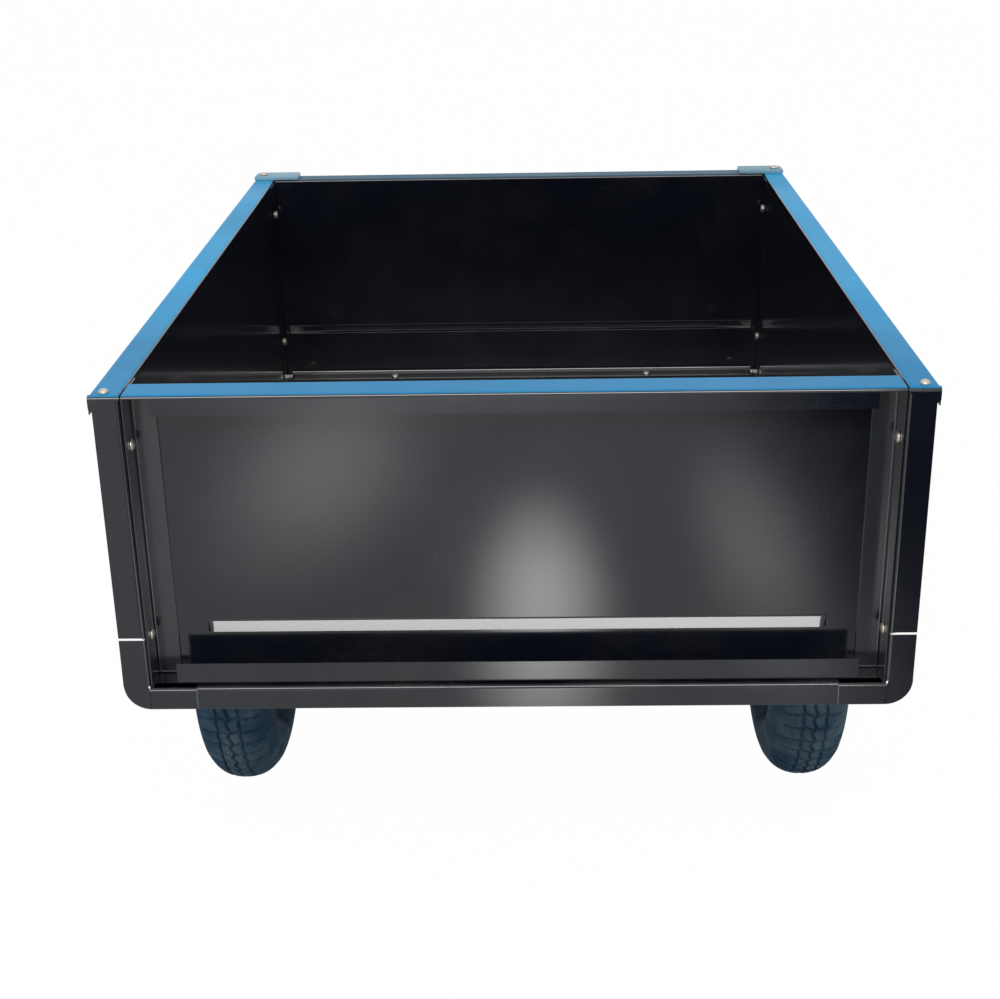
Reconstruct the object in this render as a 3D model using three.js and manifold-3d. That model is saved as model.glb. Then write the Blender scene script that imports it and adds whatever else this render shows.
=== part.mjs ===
// Tow behind dump cart: a pressed steel bed with a lift-out tailgate, tipping on a two-wheel axle
// with a straight drawbar. Millimetres, +Z up, +Y in the towing direction, ground at z = 0.
import * as THREE from 'three';
import { mergeVertices } from 'three/addons/utils/BufferGeometryUtils.js';
import Module from 'manifold-3d';

const wasm = await Module();
wasm.setup();

// ---------------------------------------------------------------- driving dimensions
const gap = 0.3;              // clearance between two pieces that touch
const sheet = 1.2;            // gauge of every bed panel

const bedWidth = 762;         // between the side walls' inner faces
const bedLength = 1054;       // from the rear end plane to the front wall's inner face
const bedDepth = 320;         // from the rails' top to the floor's top

const railWidth = 31;         // side rail, turned outwards from the wall
const railLip = 19;           // the rail's down-turned outer edge
const postWidth = 27.5;       // rear end flange beside the tailgate
const endDrop = 25;           // rear end flange below the floor's top
const endCorner = 27;         // outer radius at the foot of each end flange
const earDepth = 16;          // top of the end flange, widened to close the rail's end
const earCorner = 3;
const slitHeight = 2.6;       // relief slit across each end flange
const slitBelowTop = 263.5;   // from the rails' top to the slit
const floorStrip = 48;        // how far each side panel turns in under the floor
const floorLap = 30;          // how far the floor panel laps onto that strip

const frontFlange = 34.5;     // front wall's top flange, with its lip
const frontTab = 40;          // front wall's end tabs against the side walls
const frontFoot = 28;         // front wall's foot on the floor
const footSetBack = 12;       // the foot stops short of the side walls

const tailgateSetIn = 40;     // from the rear end plane to the tailgate's outer face
const tailgateTopInset = 2;   // tailgate's top flange stops this far short of each side wall
const tailgateSideGap = 0.7;  // running gap between the tailgate and each guide's wall leg
const tailgateLip = 21;       // down-turned edge of the top flange
const troughDepth = 34;       // bottom flange, turned outwards
const troughLip = 24;         // its up-turned edge
const beadInset = 58;         // pressed beads stop this far short of each side wall
const beadRadius = 6.5;
const tailgateBeadBelowTop = 268;
const frontBeadBelowTop = 242;

const guideSheet = 1.5;       // gauge of the guide and stop angles
const guideReach = 26;        // the guide's facing leg, from the side wall
const guideRearSet = 4;       // from the rear end plane to the guide's wall leg
const guideTopSet = 3;        // guides start this far below the rails' top
const stopLeg = 26;           // the stop angle's wall leg

const capInset = 37.5;        // corner cap, in from the side wall's inner face
const capRise = 6.5;          // height of the cap over the rail
const capSheet = 1.5;
const capCorner = 12;

const boltRadius = 4;
const boltClear = 0.3;        // radial clearance of every bolt in its hole
const domeRadius = 8.5;
const domeHeight = 4;
const nutRadius = 7.5;
const nutHeight = 6;
const guideBoltInset = 22;    // guide bolts, from the rear end plane
const guideBoltBelowTop = [58, 268];
const frontBoltInset = 18;    // front corner bolts, back from the front wall
const frontBoltBelowTop = [51, 257];

const tyreRadius = 196;
const tyreWidth = 102;
const trackInset = 6;         // wheel track, less than the bed's width
const wheelClearance = 10.3;  // between a tyre and the bed above it
const beadSeat = 101.6;       // an eight inch rim
const rimFlange = 109;
const rimWidth = 66;
const rimSheet = 2.5;
const tyreWall = 6;
const hubLength = 76;
const hubRadius = 17;
const axleRadius = 8;
const axleFromRear = 536;     // from the rear end plane to the axle
const axleOverhang = 11.7;    // axle beyond each outer hub end
const washerThickness = 2;
const runningGap = 0.4;       // end play between pieces on the axle
const boreClear = 0.1;        // radial running clearance on the axle
const spacerLength = 38;

const tongueSize = 40;        // square drawbar tube
const tongueWall = 2.5;
const tongueHeight = 280;     // drawbar's centre line above the ground
const tongueBehindAxle = 46;
const tongueReach = 561.5;    // hitch end ahead of the bed's front flange
const hitchSetBack = 80;      // tube's end behind the hitch end
const hitchPlateThickness = 6;
const hitchPlateLap = 90;     // hitch plates on the tube
const pinRadius = 6.3;
const pinClear = 0.5;
const pinBelowPlate = 16;
const pinHeadRadius = 12;
const clipWire = 1.6;
const clipPlay = 4.5;         // lift of the pin before its clip meets the lower plate

const bracketPlate = 4;       // drawbar to axle brackets
const bracketLength = 100;
const bracketFoot = 22;       // round foot about the axle
const channelSheet = 2.5;     // hat channel under the front of the floor
const channelWidth = 80;
const channelDepth = 35;
const channelFlange = 18;
const channelToStand = 7;     // from the channel to the latch stand
const standPlate = 3;
const standLength = 50;
const padThickness = 8;
const leverThickness = 5;
const hookClear = 0.8;        // hook nose ahead of the strike's front edge
const strikeReach = 26;       // strike's shelf ahead of its back plate
const gripRadius = 13;
const gripLength = 110;

// ---------------------------------------------------------------- worked out from them
const overallLength = bedLength + frontFlange + tongueReach;
const floorTop = 2 * tyreRadius + wheelClearance + 2 * sheet + gap;
const railTop = floorTop + bedDepth;
const floorUnder = floorTop - sheet;
const stripTop = floorUnder - gap;
const endFoot = floorTop - endDrop;
const wallX = bedWidth / 2;                  // side wall's inner face
const railX = wallX + railWidth;
const seamX = wallX - floorStrip;            // seam between a side panel and the floor
const axleHeight = tyreRadius;
const wheelTrack = bedWidth - trackInset;    // between the tyres' middle planes
const axleY = axleFromRear;
const frontY = bedLength;                    // front wall's inner face
const bedFrontY = frontY + frontFlange;      // bed's foremost edge
const legX = wallX - gap - guideSheet;       // inner face of a guide's wall leg
const beadHalf = wallX - beadInset;
const hubInner = wheelTrack / 2 - hubLength / 2;
const hubOuter = wheelTrack / 2 + hubLength / 2;
const axleHalf = hubOuter + axleOverhang;
const tongueTop = tongueHeight + tongueSize / 2;
const tongueBottom = tongueHeight - tongueSize / 2;
const hitchY = overallLength;
const tongueEndY = hitchY - hitchSetBack;
const hitchPlateHalf = 22;
const pinY = hitchY - hitchPlateHalf;
const valveRadius = 4;
const valvePlace = beadSeat - 34;            // valve's distance from the axle
const sides = [['left', -1], ['right', 1]];

// ---------------------------------------------------------------- materials
const paint = (color, roughness, metalness) =>
  new THREE.MeshStandardMaterial({ color, roughness, metalness });
const blackPaint = paint(0x16181c, 0.22, 0.3);
const capPaint = paint(0x3f5a66, 0.3, 0.3);
const zinc = paint(0xc9c8be, 0.38, 0.9);
const plainSteel = paint(0x8a8c8f, 0.4, 0.9);
const tyreRubber = paint(0x2a3640, 0.75, 0);
const padRubber = paint(0x1b1b1c, 0.8, 0);
const wheelPaint = paint(0x9aa0a6, 0.35, 0.4);
const bushNylon = paint(0xd9d5c8, 0.5, 0);

// ---------------------------------------------------------------- shape helpers
function outline(points) {
  return new THREE.Shape(points.map(([a, b]) => new THREE.Vector2(a, b)));
}

function extruded(shape, depth) {
  return new THREE.ExtrudeGeometry(shape, { depth, bevelEnabled: false, curveSegments: 8 });
}

// A shape drawn in y, z and carried along x.
function alongX(shape, x0, x1) {
  const basis = new THREE.Matrix4().makeBasis(
    new THREE.Vector3(0, 1, 0), new THREE.Vector3(0, 0, 1), new THREE.Vector3(1, 0, 0));
  return extruded(shape, x1 - x0).applyMatrix4(basis).translate(x0, 0, 0);
}

// A shape drawn in x, z and carried along y.
function alongY(shape, y0, y1) {
  return extruded(shape, y1 - y0).rotateX(Math.PI / 2).translate(0, y1, 0);
}

// A shape drawn in x, y and carried along z.
function alongZ(shape, z0, z1) {
  return extruded(shape, z1 - z0).translate(0, 0, z0);
}

function block(x0, x1, y0, y1, z0, z1) {
  const size = [x1 - x0, y1 - y0, z1 - z0];
  return new THREE.BoxGeometry(...size).translate((x0 + x1) / 2, (y0 + y1) / 2, (z0 + z1) / 2);
}

// A profile of [radius, height] points turned about an upright axis.
function turned(profile, segments = 16) {
  return new THREE.LatheGeometry(profile.map(([r, h]) => new THREE.Vector2(r, h)), segments)
    .rotateX(Math.PI / 2);
}

// The same, with the axis laid along x: height becomes x.
function turnedX(profile, segments = 16) {
  return turned(profile, segments).rotateY(Math.PI / 2);
}

// A round bar along x, y or z.
function rodX(radius, x0, x1, y, z, segments = 16) {
  return turnedX([[0, x0], [radius, x0], [radius, x1], [0, x1]], segments).translate(0, y, z);
}

function rodZ(radius, x, y, z0, z1, segments = 16) {
  return turned([[0, z0], [radius, z0], [radius, z1], [0, z1]], segments).translate(x, y, 0);
}

// A tube of round wire along a list of points.
function wire(points, radius, steps, tension = 0.5, sidesOfWire = 8) {
  const path = new THREE.CatmullRomCurve3(
    points.map((p) => new THREE.Vector3(...p)), false, 'catmullrom', tension);
  const section = new THREE.Shape();
  for (let i = 0; i < sidesOfWire; i += 1) {
    const angle = (2 * Math.PI * i) / sidesOfWire;
    section[i ? 'lineTo' : 'moveTo'](radius * Math.cos(angle), radius * Math.sin(angle));
  }
  return new THREE.ExtrudeGeometry(section, { steps, extrudePath: path, bevelEnabled: false });
}

// ---------------------------------------------------------------- joining and cutting
function signedVolume(position, index) {
  let volume = 0;
  const a = new THREE.Vector3();
  const b = new THREE.Vector3();
  const c = new THREE.Vector3();
  for (let i = 0; i < index.length; i += 3) {
    a.fromArray(position, 3 * index[i]);
    b.fromArray(position, 3 * index[i + 1]);
    c.fromArray(position, 3 * index[i + 2]);
    volume += a.dot(b.cross(c));
  }
  return volume;
}

function solid(geometry) {
  const bare = geometry.clone();
  for (const name of Object.keys(bare.attributes)) {
    if (name !== 'position') bare.deleteAttribute(name);
  }
  const merged = mergeVertices(bare, 1e-3);
  const position = new Float32Array(merged.attributes.position.array);
  const faces = [];
  const all = merged.index.array;
  for (let i = 0; i < all.length; i += 3) {
    const [a, b, c] = [all[i], all[i + 1], all[i + 2]];
    if (a !== b && b !== c && c !== a) faces.push(a, b, c);
  }
  if (signedVolume(position, faces) < 0) {
    for (let i = 0; i < faces.length; i += 3) {
      [faces[i + 1], faces[i + 2]] = [faces[i + 2], faces[i + 1]];
    }
  }
  const mesh = { numProp: 3, vertProperties: position, triVerts: new Uint32Array(faces) };
  return new wasm.Manifold(new wasm.Mesh(mesh));
}

function geometryOf(body) {
  const { vertProperties, triVerts } = body.getMesh();
  const geometry = new THREE.BufferGeometry();
  geometry.setAttribute('position', new THREE.BufferAttribute(new Float32Array(vertProperties), 3));
  geometry.setIndex(new THREE.BufferAttribute(new Uint32Array(triVerts), 1));
  geometry.computeVertexNormals();
  return geometry;
}

// Everything in added becomes one body, less everything in cut.
function made(added, cut = []) {
  let body = solid(added[0]);
  for (const more of added.slice(1)) body = body.add(solid(more));
  for (const less of cut) body = body.subtract(solid(less));
  return geometryOf(body);
}

const cart = new THREE.Group();
cart.position.set(0, -overallLength / 2, 0);

function piece(name, geometry, material) {
  const mesh = new THREE.Mesh(geometry, material);
  mesh.name = name;
  cart.add(mesh);
}

const mirrored = (points, s) => points.map(([x, other]) => [s * x, other]);
const span = (a, b) => [Math.min(a, b), Math.max(a, b)];
const boltHole = boltRadius + boltClear;

// ---------------------------------------------------------------- bed panels
function sidePanel(s) {
  const section = outline(mirrored([
    [railX, railTop - railLip], [railX, railTop], [wallX, railTop], [wallX, stripTop],
    [seamX, stripTop], [seamX, stripTop - sheet], [wallX + sheet, stripTop - sheet],
    [wallX + sheet, railTop - sheet], [railX - sheet, railTop - sheet],
    [railX - sheet, railTop - railLip],
  ], s));
  const flange = new THREE.Shape();
  const postX = wallX + postWidth;
  const cornerX = postX - endCorner;
  flange.moveTo(s * wallX, railTop - sheet / 2);
  flange.lineTo(s * railX, railTop - sheet / 2);
  flange.lineTo(s * railX, railTop - earDepth + earCorner);
  flange.lineTo(s * (railX - earCorner), railTop - earDepth);
  flange.lineTo(s * postX, railTop - earDepth);
  flange.lineTo(s * postX, endFoot + endCorner);
  flange.absarc(s * cornerX, endFoot + endCorner, endCorner, s > 0 ? 0 : Math.PI,
    -Math.PI / 2, s > 0);
  flange.lineTo(s * seamX, endFoot);
  flange.lineTo(s * seamX, stripTop);
  flange.lineTo(s * wallX, stripTop);
  const slitZ = railTop - slitBelowTop;
  const cuts = [block(...span(s * (wallX + sheet + gap), s * (railX + 1)), -1, sheet + 1,
    slitZ - slitHeight / 2, slitZ + slitHeight / 2)];
  for (const below of guideBoltBelowTop) {
    cuts.push(rodX(boltHole, ...span(s * (wallX - 1), s * (wallX + 2 * sheet)),
      guideBoltInset, railTop - below));
  }
  for (const below of frontBoltBelowTop) {
    cuts.push(rodX(boltHole, ...span(s * (wallX - 1), s * (wallX + 2 * sheet)),
      frontY - frontBoltInset, railTop - below));
  }
  cuts.push(rodZ(boltHole, s * capBoltX, capBoltY, railTop - 2 * sheet, railTop + 1));
  cuts.push(block(...span(s * (seamX - 1), s * (wallX - gap)), frontY + sheet, bedFrontY + 1,
    stripTop - sheet - 1, stripTop + 1));
  const frontEnd = block(...span(s * wallX, s * postX), bedFrontY - sheet, bedFrontY,
    stripTop - sheet, railTop - sheet / 2);
  return made([alongY(section, 0, bedFrontY), alongY(flange, 0, sheet), frontEnd], cuts);
}

function bead(half, y, z, outwards) {
  const rib = new THREE.CapsuleGeometry(beadRadius, 2 * (half - beadRadius), 3, 12);
  const whole = rib.rotateZ(Math.PI / 2).translate(0, y, z);
  const reach = beadRadius + 1;
  const behind = outwards < 0 ? [y + sheet / 2, y + reach] : [y - reach, y - sheet / 2];
  return geometryOf(solid(whole).subtract(
    solid(block(-half - 1, half + 1, ...behind, z - reach, z + reach))));
}

function frontPanel() {
  const halfX = wallX - gap;
  const wall = outline([
    [-halfX, frontY - frontTab], [-halfX + sheet, frontY - frontTab], [-halfX + sheet, frontY],
    [halfX - sheet, frontY], [halfX - sheet, frontY - frontTab], [halfX, frontY - frontTab],
    [halfX, frontY + sheet], [-halfX, frontY + sheet],
  ]);
  const bottom = floorTop + gap;
  const footX = wallX - footSetBack;
  const parts = [
    alongZ(wall, bottom, railTop - sheet / 2),
    block(-halfX, halfX, frontY, bedFrontY, railTop - sheet, railTop),
    block(-halfX, halfX, bedFrontY - sheet, bedFrontY, railTop - railLip, railTop),
    block(-footX, footX, frontY - frontFoot, frontY + sheet / 2, bottom, bottom + sheet),
    bead(beadHalf, frontY + sheet / 2, railTop - frontBeadBelowTop, 1),
  ];
  const cuts = [];
  for (const s of [-1, 1]) {
    for (const below of frontBoltBelowTop) {
      cuts.push(rodX(boltHole, ...span(s * (halfX + 1), s * (halfX - 3 * sheet)),
        frontY - frontBoltInset, railTop - below));
    }
  }
  return made(parts, cuts);
}

function floorPanel() {
  const lapX = seamX + floorLap;
  const rearX = seamX - 0.8;
  return made([
    block(-lapX, lapX, 0, frontY + sheet, floorUnder, floorTop),
    block(-rearX, rearX, 0, sheet, endFoot, floorTop),
  ]);
}

const capBoltX = wallX + railWidth * 0.55;
const capBoltY = frontY + frontFlange * 0.3;

function cornerCap(s) {
  const inner = wallX - capInset;
  const outer = railX - gap;
  const rear = frontY - 1;
  const front = bedFrontY - gap;
  const face = (inset) => {
    const shape = new THREE.Shape();
    const r = capCorner - inset;
    shape.moveTo(s * (inner + inset), rear + inset);
    shape.lineTo(s * (outer - inset), rear + inset);
    shape.lineTo(s * (outer - inset), front - inset - r);
    shape.absarc(s * (outer - inset - r), front - inset - r, r, s > 0 ? 0 : Math.PI,
      Math.PI / 2, s < 0);
    shape.lineTo(s * (inner + inset), front - inset);
    return shape;
  };
  return made([alongZ(face(0), railTop + gap, railTop + capRise)], [
    alongZ(face(capSheet), railTop, railTop + capRise - capSheet),
    rodZ(boltHole, s * capBoltX, capBoltY, railTop, railTop + capRise + 1),
  ]);
}

piece('floor_panel', floorPanel(), blackPaint);
piece('front_panel', frontPanel(), blackPaint);
for (const [side, s] of sides) {
  piece(`side_panel_${side}`, sidePanel(s), blackPaint);
  piece(`corner_cap_${side}`, cornerCap(s), capPaint);
}

// ---------------------------------------------------------------- tailgate and its guides
function tailgate() {
  const rear = tailgateSetIn;
  const panelX = legX - tailgateSideGap;
  const troughX = wallX - guideReach - 2;
  const bottom = floorTop + gap;
  const topHalf = wallX - tailgateTopInset;
  const edge = gap;
  const lipY = rear - troughDepth;
  return made([
    block(-panelX, panelX, rear, rear + sheet, bottom, railTop),
    block(-topHalf, topHalf, edge, rear + sheet, railTop - sheet, railTop),
    block(-topHalf, topHalf, edge, edge + sheet, railTop - tailgateLip, railTop),
    block(-troughX, troughX, lipY, rear + sheet / 2, bottom, bottom + sheet),
    block(-troughX, troughX, lipY, lipY + sheet, bottom, bottom + troughLip),
    bead(beadHalf, rear + sheet / 2, railTop - tailgateBeadBelowTop, -1),
  ]);
}

const guideFoot = floorTop + gap;
const guideTop = railTop - guideTopSet;

// Outer angle: one leg on the side wall, one in front of the tailgate's outer face.
function guide(s) {
  const faceY = tailgateSetIn - gap;
  const shape = outline(mirrored([
    [legX, guideRearSet], [legX + guideSheet, guideRearSet], [legX + guideSheet, faceY],
    [wallX - guideReach, faceY], [wallX - guideReach, faceY - guideSheet],
    [legX, faceY - guideSheet],
  ], s));
  return made([alongZ(shape, guideFoot, guideTop)], guideBoltBelowTop.map((below) =>
    rodX(boltHole, ...span(s * (legX - 1), s * (wallX + 1)), guideBoltInset, railTop - below)));
}

// Inner angle: stops the tailgate from falling into the bed.
function stop(s) {
  const faceY = tailgateSetIn + sheet + gap;
  const shape = outline(mirrored([
    [wallX - guideReach, faceY], [legX + guideSheet, faceY], [legX + guideSheet, faceY + stopLeg],
    [legX, faceY + stopLeg], [legX, faceY + guideSheet], [wallX - guideReach, faceY + guideSheet],
  ], s));
  return made([alongZ(shape, guideFoot, guideTop)]);
}

piece('tailgate_panel', tailgate(), blackPaint);
for (const [side, s] of sides) {
  piece(`tailgate_guide_${side}`, guide(s), blackPaint);
  piece(`tailgate_stop_${side}`, stop(s), blackPaint);
}

// ---------------------------------------------------------------- fasteners
// A domed bolt, its shank and its nut in one, from the head's seat at 0 to the nut's seat.
function domedBolt(grip, radius = boltRadius, dome = domeRadius, nut = nutRadius) {
  const rise = domeHeight * dome / domeRadius;
  const cap = [0.95, 0.7, 0.4].map((share) => [dome * share, -rise * Math.sqrt(1 - share * share)]);
  const far = grip + nutHeight;
  return [[0, -rise], ...cap.reverse(), [dome, 0], [radius, 0], [radius, grip],
    [nut, grip], [nut, far], [radius, far], [radius, far + 3], [0, far + 3]];
}

function boltAcross(s, headX, nutX, y, z) {
  const geometry = turnedX(domedBolt(Math.abs(nutX - headX)), 12);
  if (s < 0) geometry.rotateY(Math.PI);
  return made([geometry.translate(s * Math.abs(headX), y, z)]);
}

for (const [side, s] of sides) {
  const guideHead = legX - gap;
  const nutSeat = wallX + sheet + gap;
  ['upper', 'lower'].forEach((level, i) => {
    piece(`guide_bolt_${side}_${level}`,
      boltAcross(s, guideHead, nutSeat, guideBoltInset, railTop - guideBoltBelowTop[i]), zinc);
    const frontHead = wallX - gap - sheet - gap;
    piece(`front_bolt_${side}_${level}`,
      boltAcross(s, frontHead, nutSeat, frontY - frontBoltInset, railTop - frontBoltBelowTop[i]),
      zinc);
  });
  const headZ = railTop + capRise + gap;
  const grip = headZ - (railTop - sheet - gap);
  const capBolt = turned(domedBolt(grip, boltRadius, 6.5, 6.5), 12).rotateX(Math.PI)
    .translate(s * capBoltX, capBoltY, headZ);
  piece(`cap_bolt_${side}`, made([capBolt]), zinc);
}

// ---------------------------------------------------------------- wheels and axle
function tyre() {
  const half = tyreWidth / 2;
  const seat = beadSeat + rimSheet + gap;
  const beadX = rimWidth / 2 - rimSheet - gap;
  const outer = [
    [seat, -beadX], [rimFlange + 4, -beadX], [beadSeat + 26, -half * 0.93],
    [beadSeat + 48, -half], [tyreRadius - 24, -half * 0.95], [tyreRadius - 8, -half * 0.78],
    [tyreRadius - 2, -half * 0.5], [tyreRadius, 0],
  ];
  const inner = [
    [tyreRadius - 12, 0], [tyreRadius - 14, -half * 0.5], [tyreRadius - 27, -half * 0.8],
    [beadSeat + 48, -half + tyreWall], [beadSeat + 28, -half * 0.93 + tyreWall],
    [rimFlange + 5, -beadX + 2 * tyreWall], [seat, -beadX + 2 * tyreWall],
  ];
  const flip = (points) => points.slice().reverse().map(([r, h]) => [r, -h]);
  const ring = [...outer, ...flip(outer).slice(1), ...flip(inner), ...inner.slice(1)];
  return turnedX([...ring, ring[0]], 40);
}

// Disc and barrel of the rim in one closed section.
function rim() {
  const half = rimWidth / 2;
  const bore = hubRadius + gap;
  const t = rimSheet;
  const well = beadSeat - 14;
  const lip = [
    [rimFlange, half], [rimFlange, half - t], [beadSeat, half - t], [beadSeat, half - 12],
    [well, half - 18],
  ];
  const skin = lip.map(([r, h]) => [r, -h]).reverse();
  const inside = [
    [beadSeat - t, half], [beadSeat - t, half - 12], [well - t, half - 18], [well - t, t],
    [bore, t], [bore, -t], [well - t, -t], [well - t, -half + 18], [beadSeat - t, -half + 12],
    [beadSeat - t, -half],
  ];
  const outside = [...skin.reverse(), ...lip.slice().reverse()];
  const ring = [...inside, ...outside];
  const geometry = turnedX([...ring, ring[0]], 30);
  return made([geometry], [rodX(valveRadius + gap, -20, 20, 0, valvePlace, 12)]);
}

function hub() {
  const half = hubLength / 2;
  const bore = axleRadius + boreClear;
  const profile = [[bore, -half], [hubRadius - 1, -half], [hubRadius, -half + 1],
    [hubRadius, half - 1], [hubRadius - 1, half], [bore, half]];
  return made([turnedX([...profile, profile[0]], 24)]);
}

function valve(s) {
  const r = valveRadius;
  const stem = turnedX([[0, -8], [r, -8], [r, 8], [r - 1.5, 10], [r - 1.5, 24], [0, 24]], 12);
  return made([s < 0 ? stem.rotateY(Math.PI) : stem]).translate(0, 0, valvePlace);
}

for (const [side, s] of sides) {
  const place = (name, geometry, material) =>
    piece(`${name}_${side}`, geometry.translate(s * wheelTrack / 2, axleY, axleHeight), material);
  place('tyre', made([tyre()]), tyreRubber);
  place('rim', rim(), wheelPaint);
  place('hub', hub(), wheelPaint);
  place('valve', valve(s), padRubber);
}

const cotterX = axleHalf - 5;
const cotterWire = 1.6;

piece('axle', made([rodX(axleRadius, -axleHalf, axleHalf, axleY, axleHeight, 24)],
  [-1, 1].map((s) => rodZ(cotterWire + gap, s * cotterX, axleY,
    axleHeight - axleRadius - 1, axleHeight + axleRadius + 1, 10))), plainSteel);

function ringX(inner, outer, x0, x1, segments = 20) {
  const [a, b] = span(x0, x1);
  const profile = [[inner, a], [outer, a], [outer, b], [inner, b], [inner, a]];
  return turnedX(profile, segments).translate(0, axleY, axleHeight);
}

const bore = axleRadius + boreClear;
const spacerOut = hubInner - runningGap;
const spacerIn = spacerOut - spacerLength;
const bushFlange = 3;
const bushRadius = axleRadius + 3.5;
const standOuter = spacerIn - runningGap - bushFlange - gap;   // outer face of an axle stand
const standSheet = 3;

for (const [side, s] of sides) {
  piece(`axle_spacer_${side}`, made([ringX(bore, bore + 4, s * spacerIn, s * spacerOut)]), zinc);
  const washerIn = hubOuter + runningGap;
  piece(`axle_washer_${side}`,
    made([ringX(bore + 0.2, bore + 7, s * washerIn, s * (washerIn + washerThickness))]), zinc);
  const leg = axleRadius + 12;
  piece(`cotter_pin_${side}`, made([
    rodZ(cotterWire, s * cotterX, axleY, axleHeight - leg, axleHeight + axleRadius + 3, 8),
    rodZ(cotterWire * 2, s * cotterX, axleY, axleHeight + axleRadius + 2,
      axleHeight + axleRadius + 7, 12),
  ]), zinc);
}

// ---------------------------------------------------------------- axle stands under the bed
function axleStand(s) {
  const topZ = floorUnder - gap;
  const faceX = span(s * (standOuter - standSheet), s * standOuter);
  const plate = new THREE.Shape();
  const foot = bushRadius + 14;
  plate.moveTo(axleY - standTopHalf, topZ);
  plate.lineTo(axleY + standTopHalf, topZ);
  plate.lineTo(axleY + foot, axleHeight);
  plate.absarc(axleY, axleHeight, foot, 0, -Math.PI, true);
  const web = span(s * (standOuter - standFlange), s * standOuter);
  return made([
    alongX(plate, ...faceX),
    block(...web, axleY - standTopHalf, axleY + standTopHalf, topZ - standSheet, topZ),
  ], [rodX(bushRadius + gap, faceX[0] - 1, faceX[1] + 1, axleY, axleHeight, 24)]);
}

const standTopHalf = 130;
const standFlange = 40;

function axleBush(s) {
  const inner = standOuter - standSheet - 3;
  const outer = standOuter + gap + bushFlange;
  const seat = standOuter + gap;
  const profile = [[bore, inner], [bushRadius, inner], [bushRadius, seat],
    [bushRadius + 5, seat], [bushRadius + 5, outer], [bore, outer], [bore, inner]];
  const geometry = turnedX(profile, 24);
  if (s < 0) geometry.rotateY(Math.PI);
  return made([geometry.translate(0, axleY, axleHeight)]);
}

for (const [side, s] of sides) {
  piece(`axle_stand_${side}`, axleStand(s), blackPaint);
  piece(`axle_bush_${side}`, axleBush(s), bushNylon);
}

// ---------------------------------------------------------------- drawbar, brackets and hitch
const crossBoltHole = boltRadius + 1 + boltClear;
const tubeHalf = tongueSize / 2;
const bracketBoltY = [axleY - 30, axleY + 34];
const standY = frontY - standLength - 2;               // latch stand's rear edge
const standBoltY = standY + standLength / 2;
const plateHoleY = [tongueEndY - 70, tongueEndY - 22];

const tongueHoles = [
  ...[...bracketBoltY, standBoltY].map((y) =>
    rodX(crossBoltHole, -tubeHalf - 1, tubeHalf + 1, y, tongueHeight, 12)),
  ...plateHoleY.map((y) => rodZ(crossBoltHole, 0, y, tongueBottom - 1, tongueTop + 1, 12)),
];
const tongueRear = axleY - tongueBehindAxle;
const tongueBore = tubeHalf - tongueWall;
piece('tongue_tube', made([
  block(-tubeHalf, tubeHalf, tongueRear, tongueEndY, tongueBottom, tongueTop),
], [
  block(-tongueBore, tongueBore, tongueRear - 1, tongueEndY + 1,
    tongueBottom + tongueWall, tongueTop - tongueWall),
  ...tongueHoles,
]), blackPaint);

function tongueBracket(s) {
  const x = span(s * (tubeHalf + gap), s * (tubeHalf + gap + bracketPlate));
  const rear = axleY - bracketLength / 2 + 4;
  const front = rear + bracketLength;
  const plate = new THREE.Shape();
  plate.moveTo(rear, tongueTop - 2);
  plate.lineTo(front, tongueTop - 2);
  plate.lineTo(front, tongueBottom - 2);
  plate.lineTo(axleY + bracketFoot, axleHeight);
  plate.absarc(axleY, axleHeight, bracketFoot, 0, -Math.PI, true);
  plate.lineTo(rear, tongueBottom - 2);
  const holes = bracketBoltY.map((y) => rodX(crossBoltHole, x[0] - 1, x[1] + 1, y, tongueHeight, 12));
  return made([alongX(plate, ...x)],
    [rodX(axleRadius + gap, x[0] - 1, x[1] + 1, axleY, axleHeight, 24), ...holes]);
}

for (const [side, s] of sides) piece(`tongue_bracket_${side}`, tongueBracket(s), blackPaint);

// A hexagon bolt through a stated grip, head at one end and nut at the other, in one.
function hexBolt(grip, radius = boltRadius + 1, hex = 9.2, head = 6) {
  const ends = (from, to) => turned([[0, from], [hex, from], [hex, to], [0, to]], 6);
  return [ends(-head, 0), ends(grip, grip + head + 1),
    turned([[0, -1], [radius, -1], [radius, grip + head + 5], [0, grip + head + 5]], 12)];
}

function hexBoltX(half, y, z) {
  const parts = hexBolt(2 * half).map((g) => g.rotateY(Math.PI / 2).translate(-half, y, z));
  return made(parts);
}

const bracketHalf = tubeHalf + gap + bracketPlate + gap;
piece('bracket_bolt_rear', hexBoltX(bracketHalf, bracketBoltY[0], tongueHeight), zinc);
piece('bracket_bolt_front', hexBoltX(bracketHalf, bracketBoltY[1], tongueHeight), zinc);

function hitchPlate(z0) {
  const rear = tongueEndY - hitchPlateLap;
  const half = hitchPlateHalf;
  const plate = new THREE.Shape();
  plate.moveTo(-half, rear);
  plate.lineTo(half, rear);
  plate.lineTo(half, pinY);
  plate.absarc(0, pinY, half, 0, Math.PI, false);
  const z1 = z0 + hitchPlateThickness;
  return made([alongZ(plate, z0, z1)], [
    rodZ(pinRadius + pinClear, 0, pinY, z0 - 1, z1 + 1, 20),
    ...plateHoleY.map((y) => rodZ(crossBoltHole, 0, y, z0 - 1, z1 + 1, 12)),
  ]);
}

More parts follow.
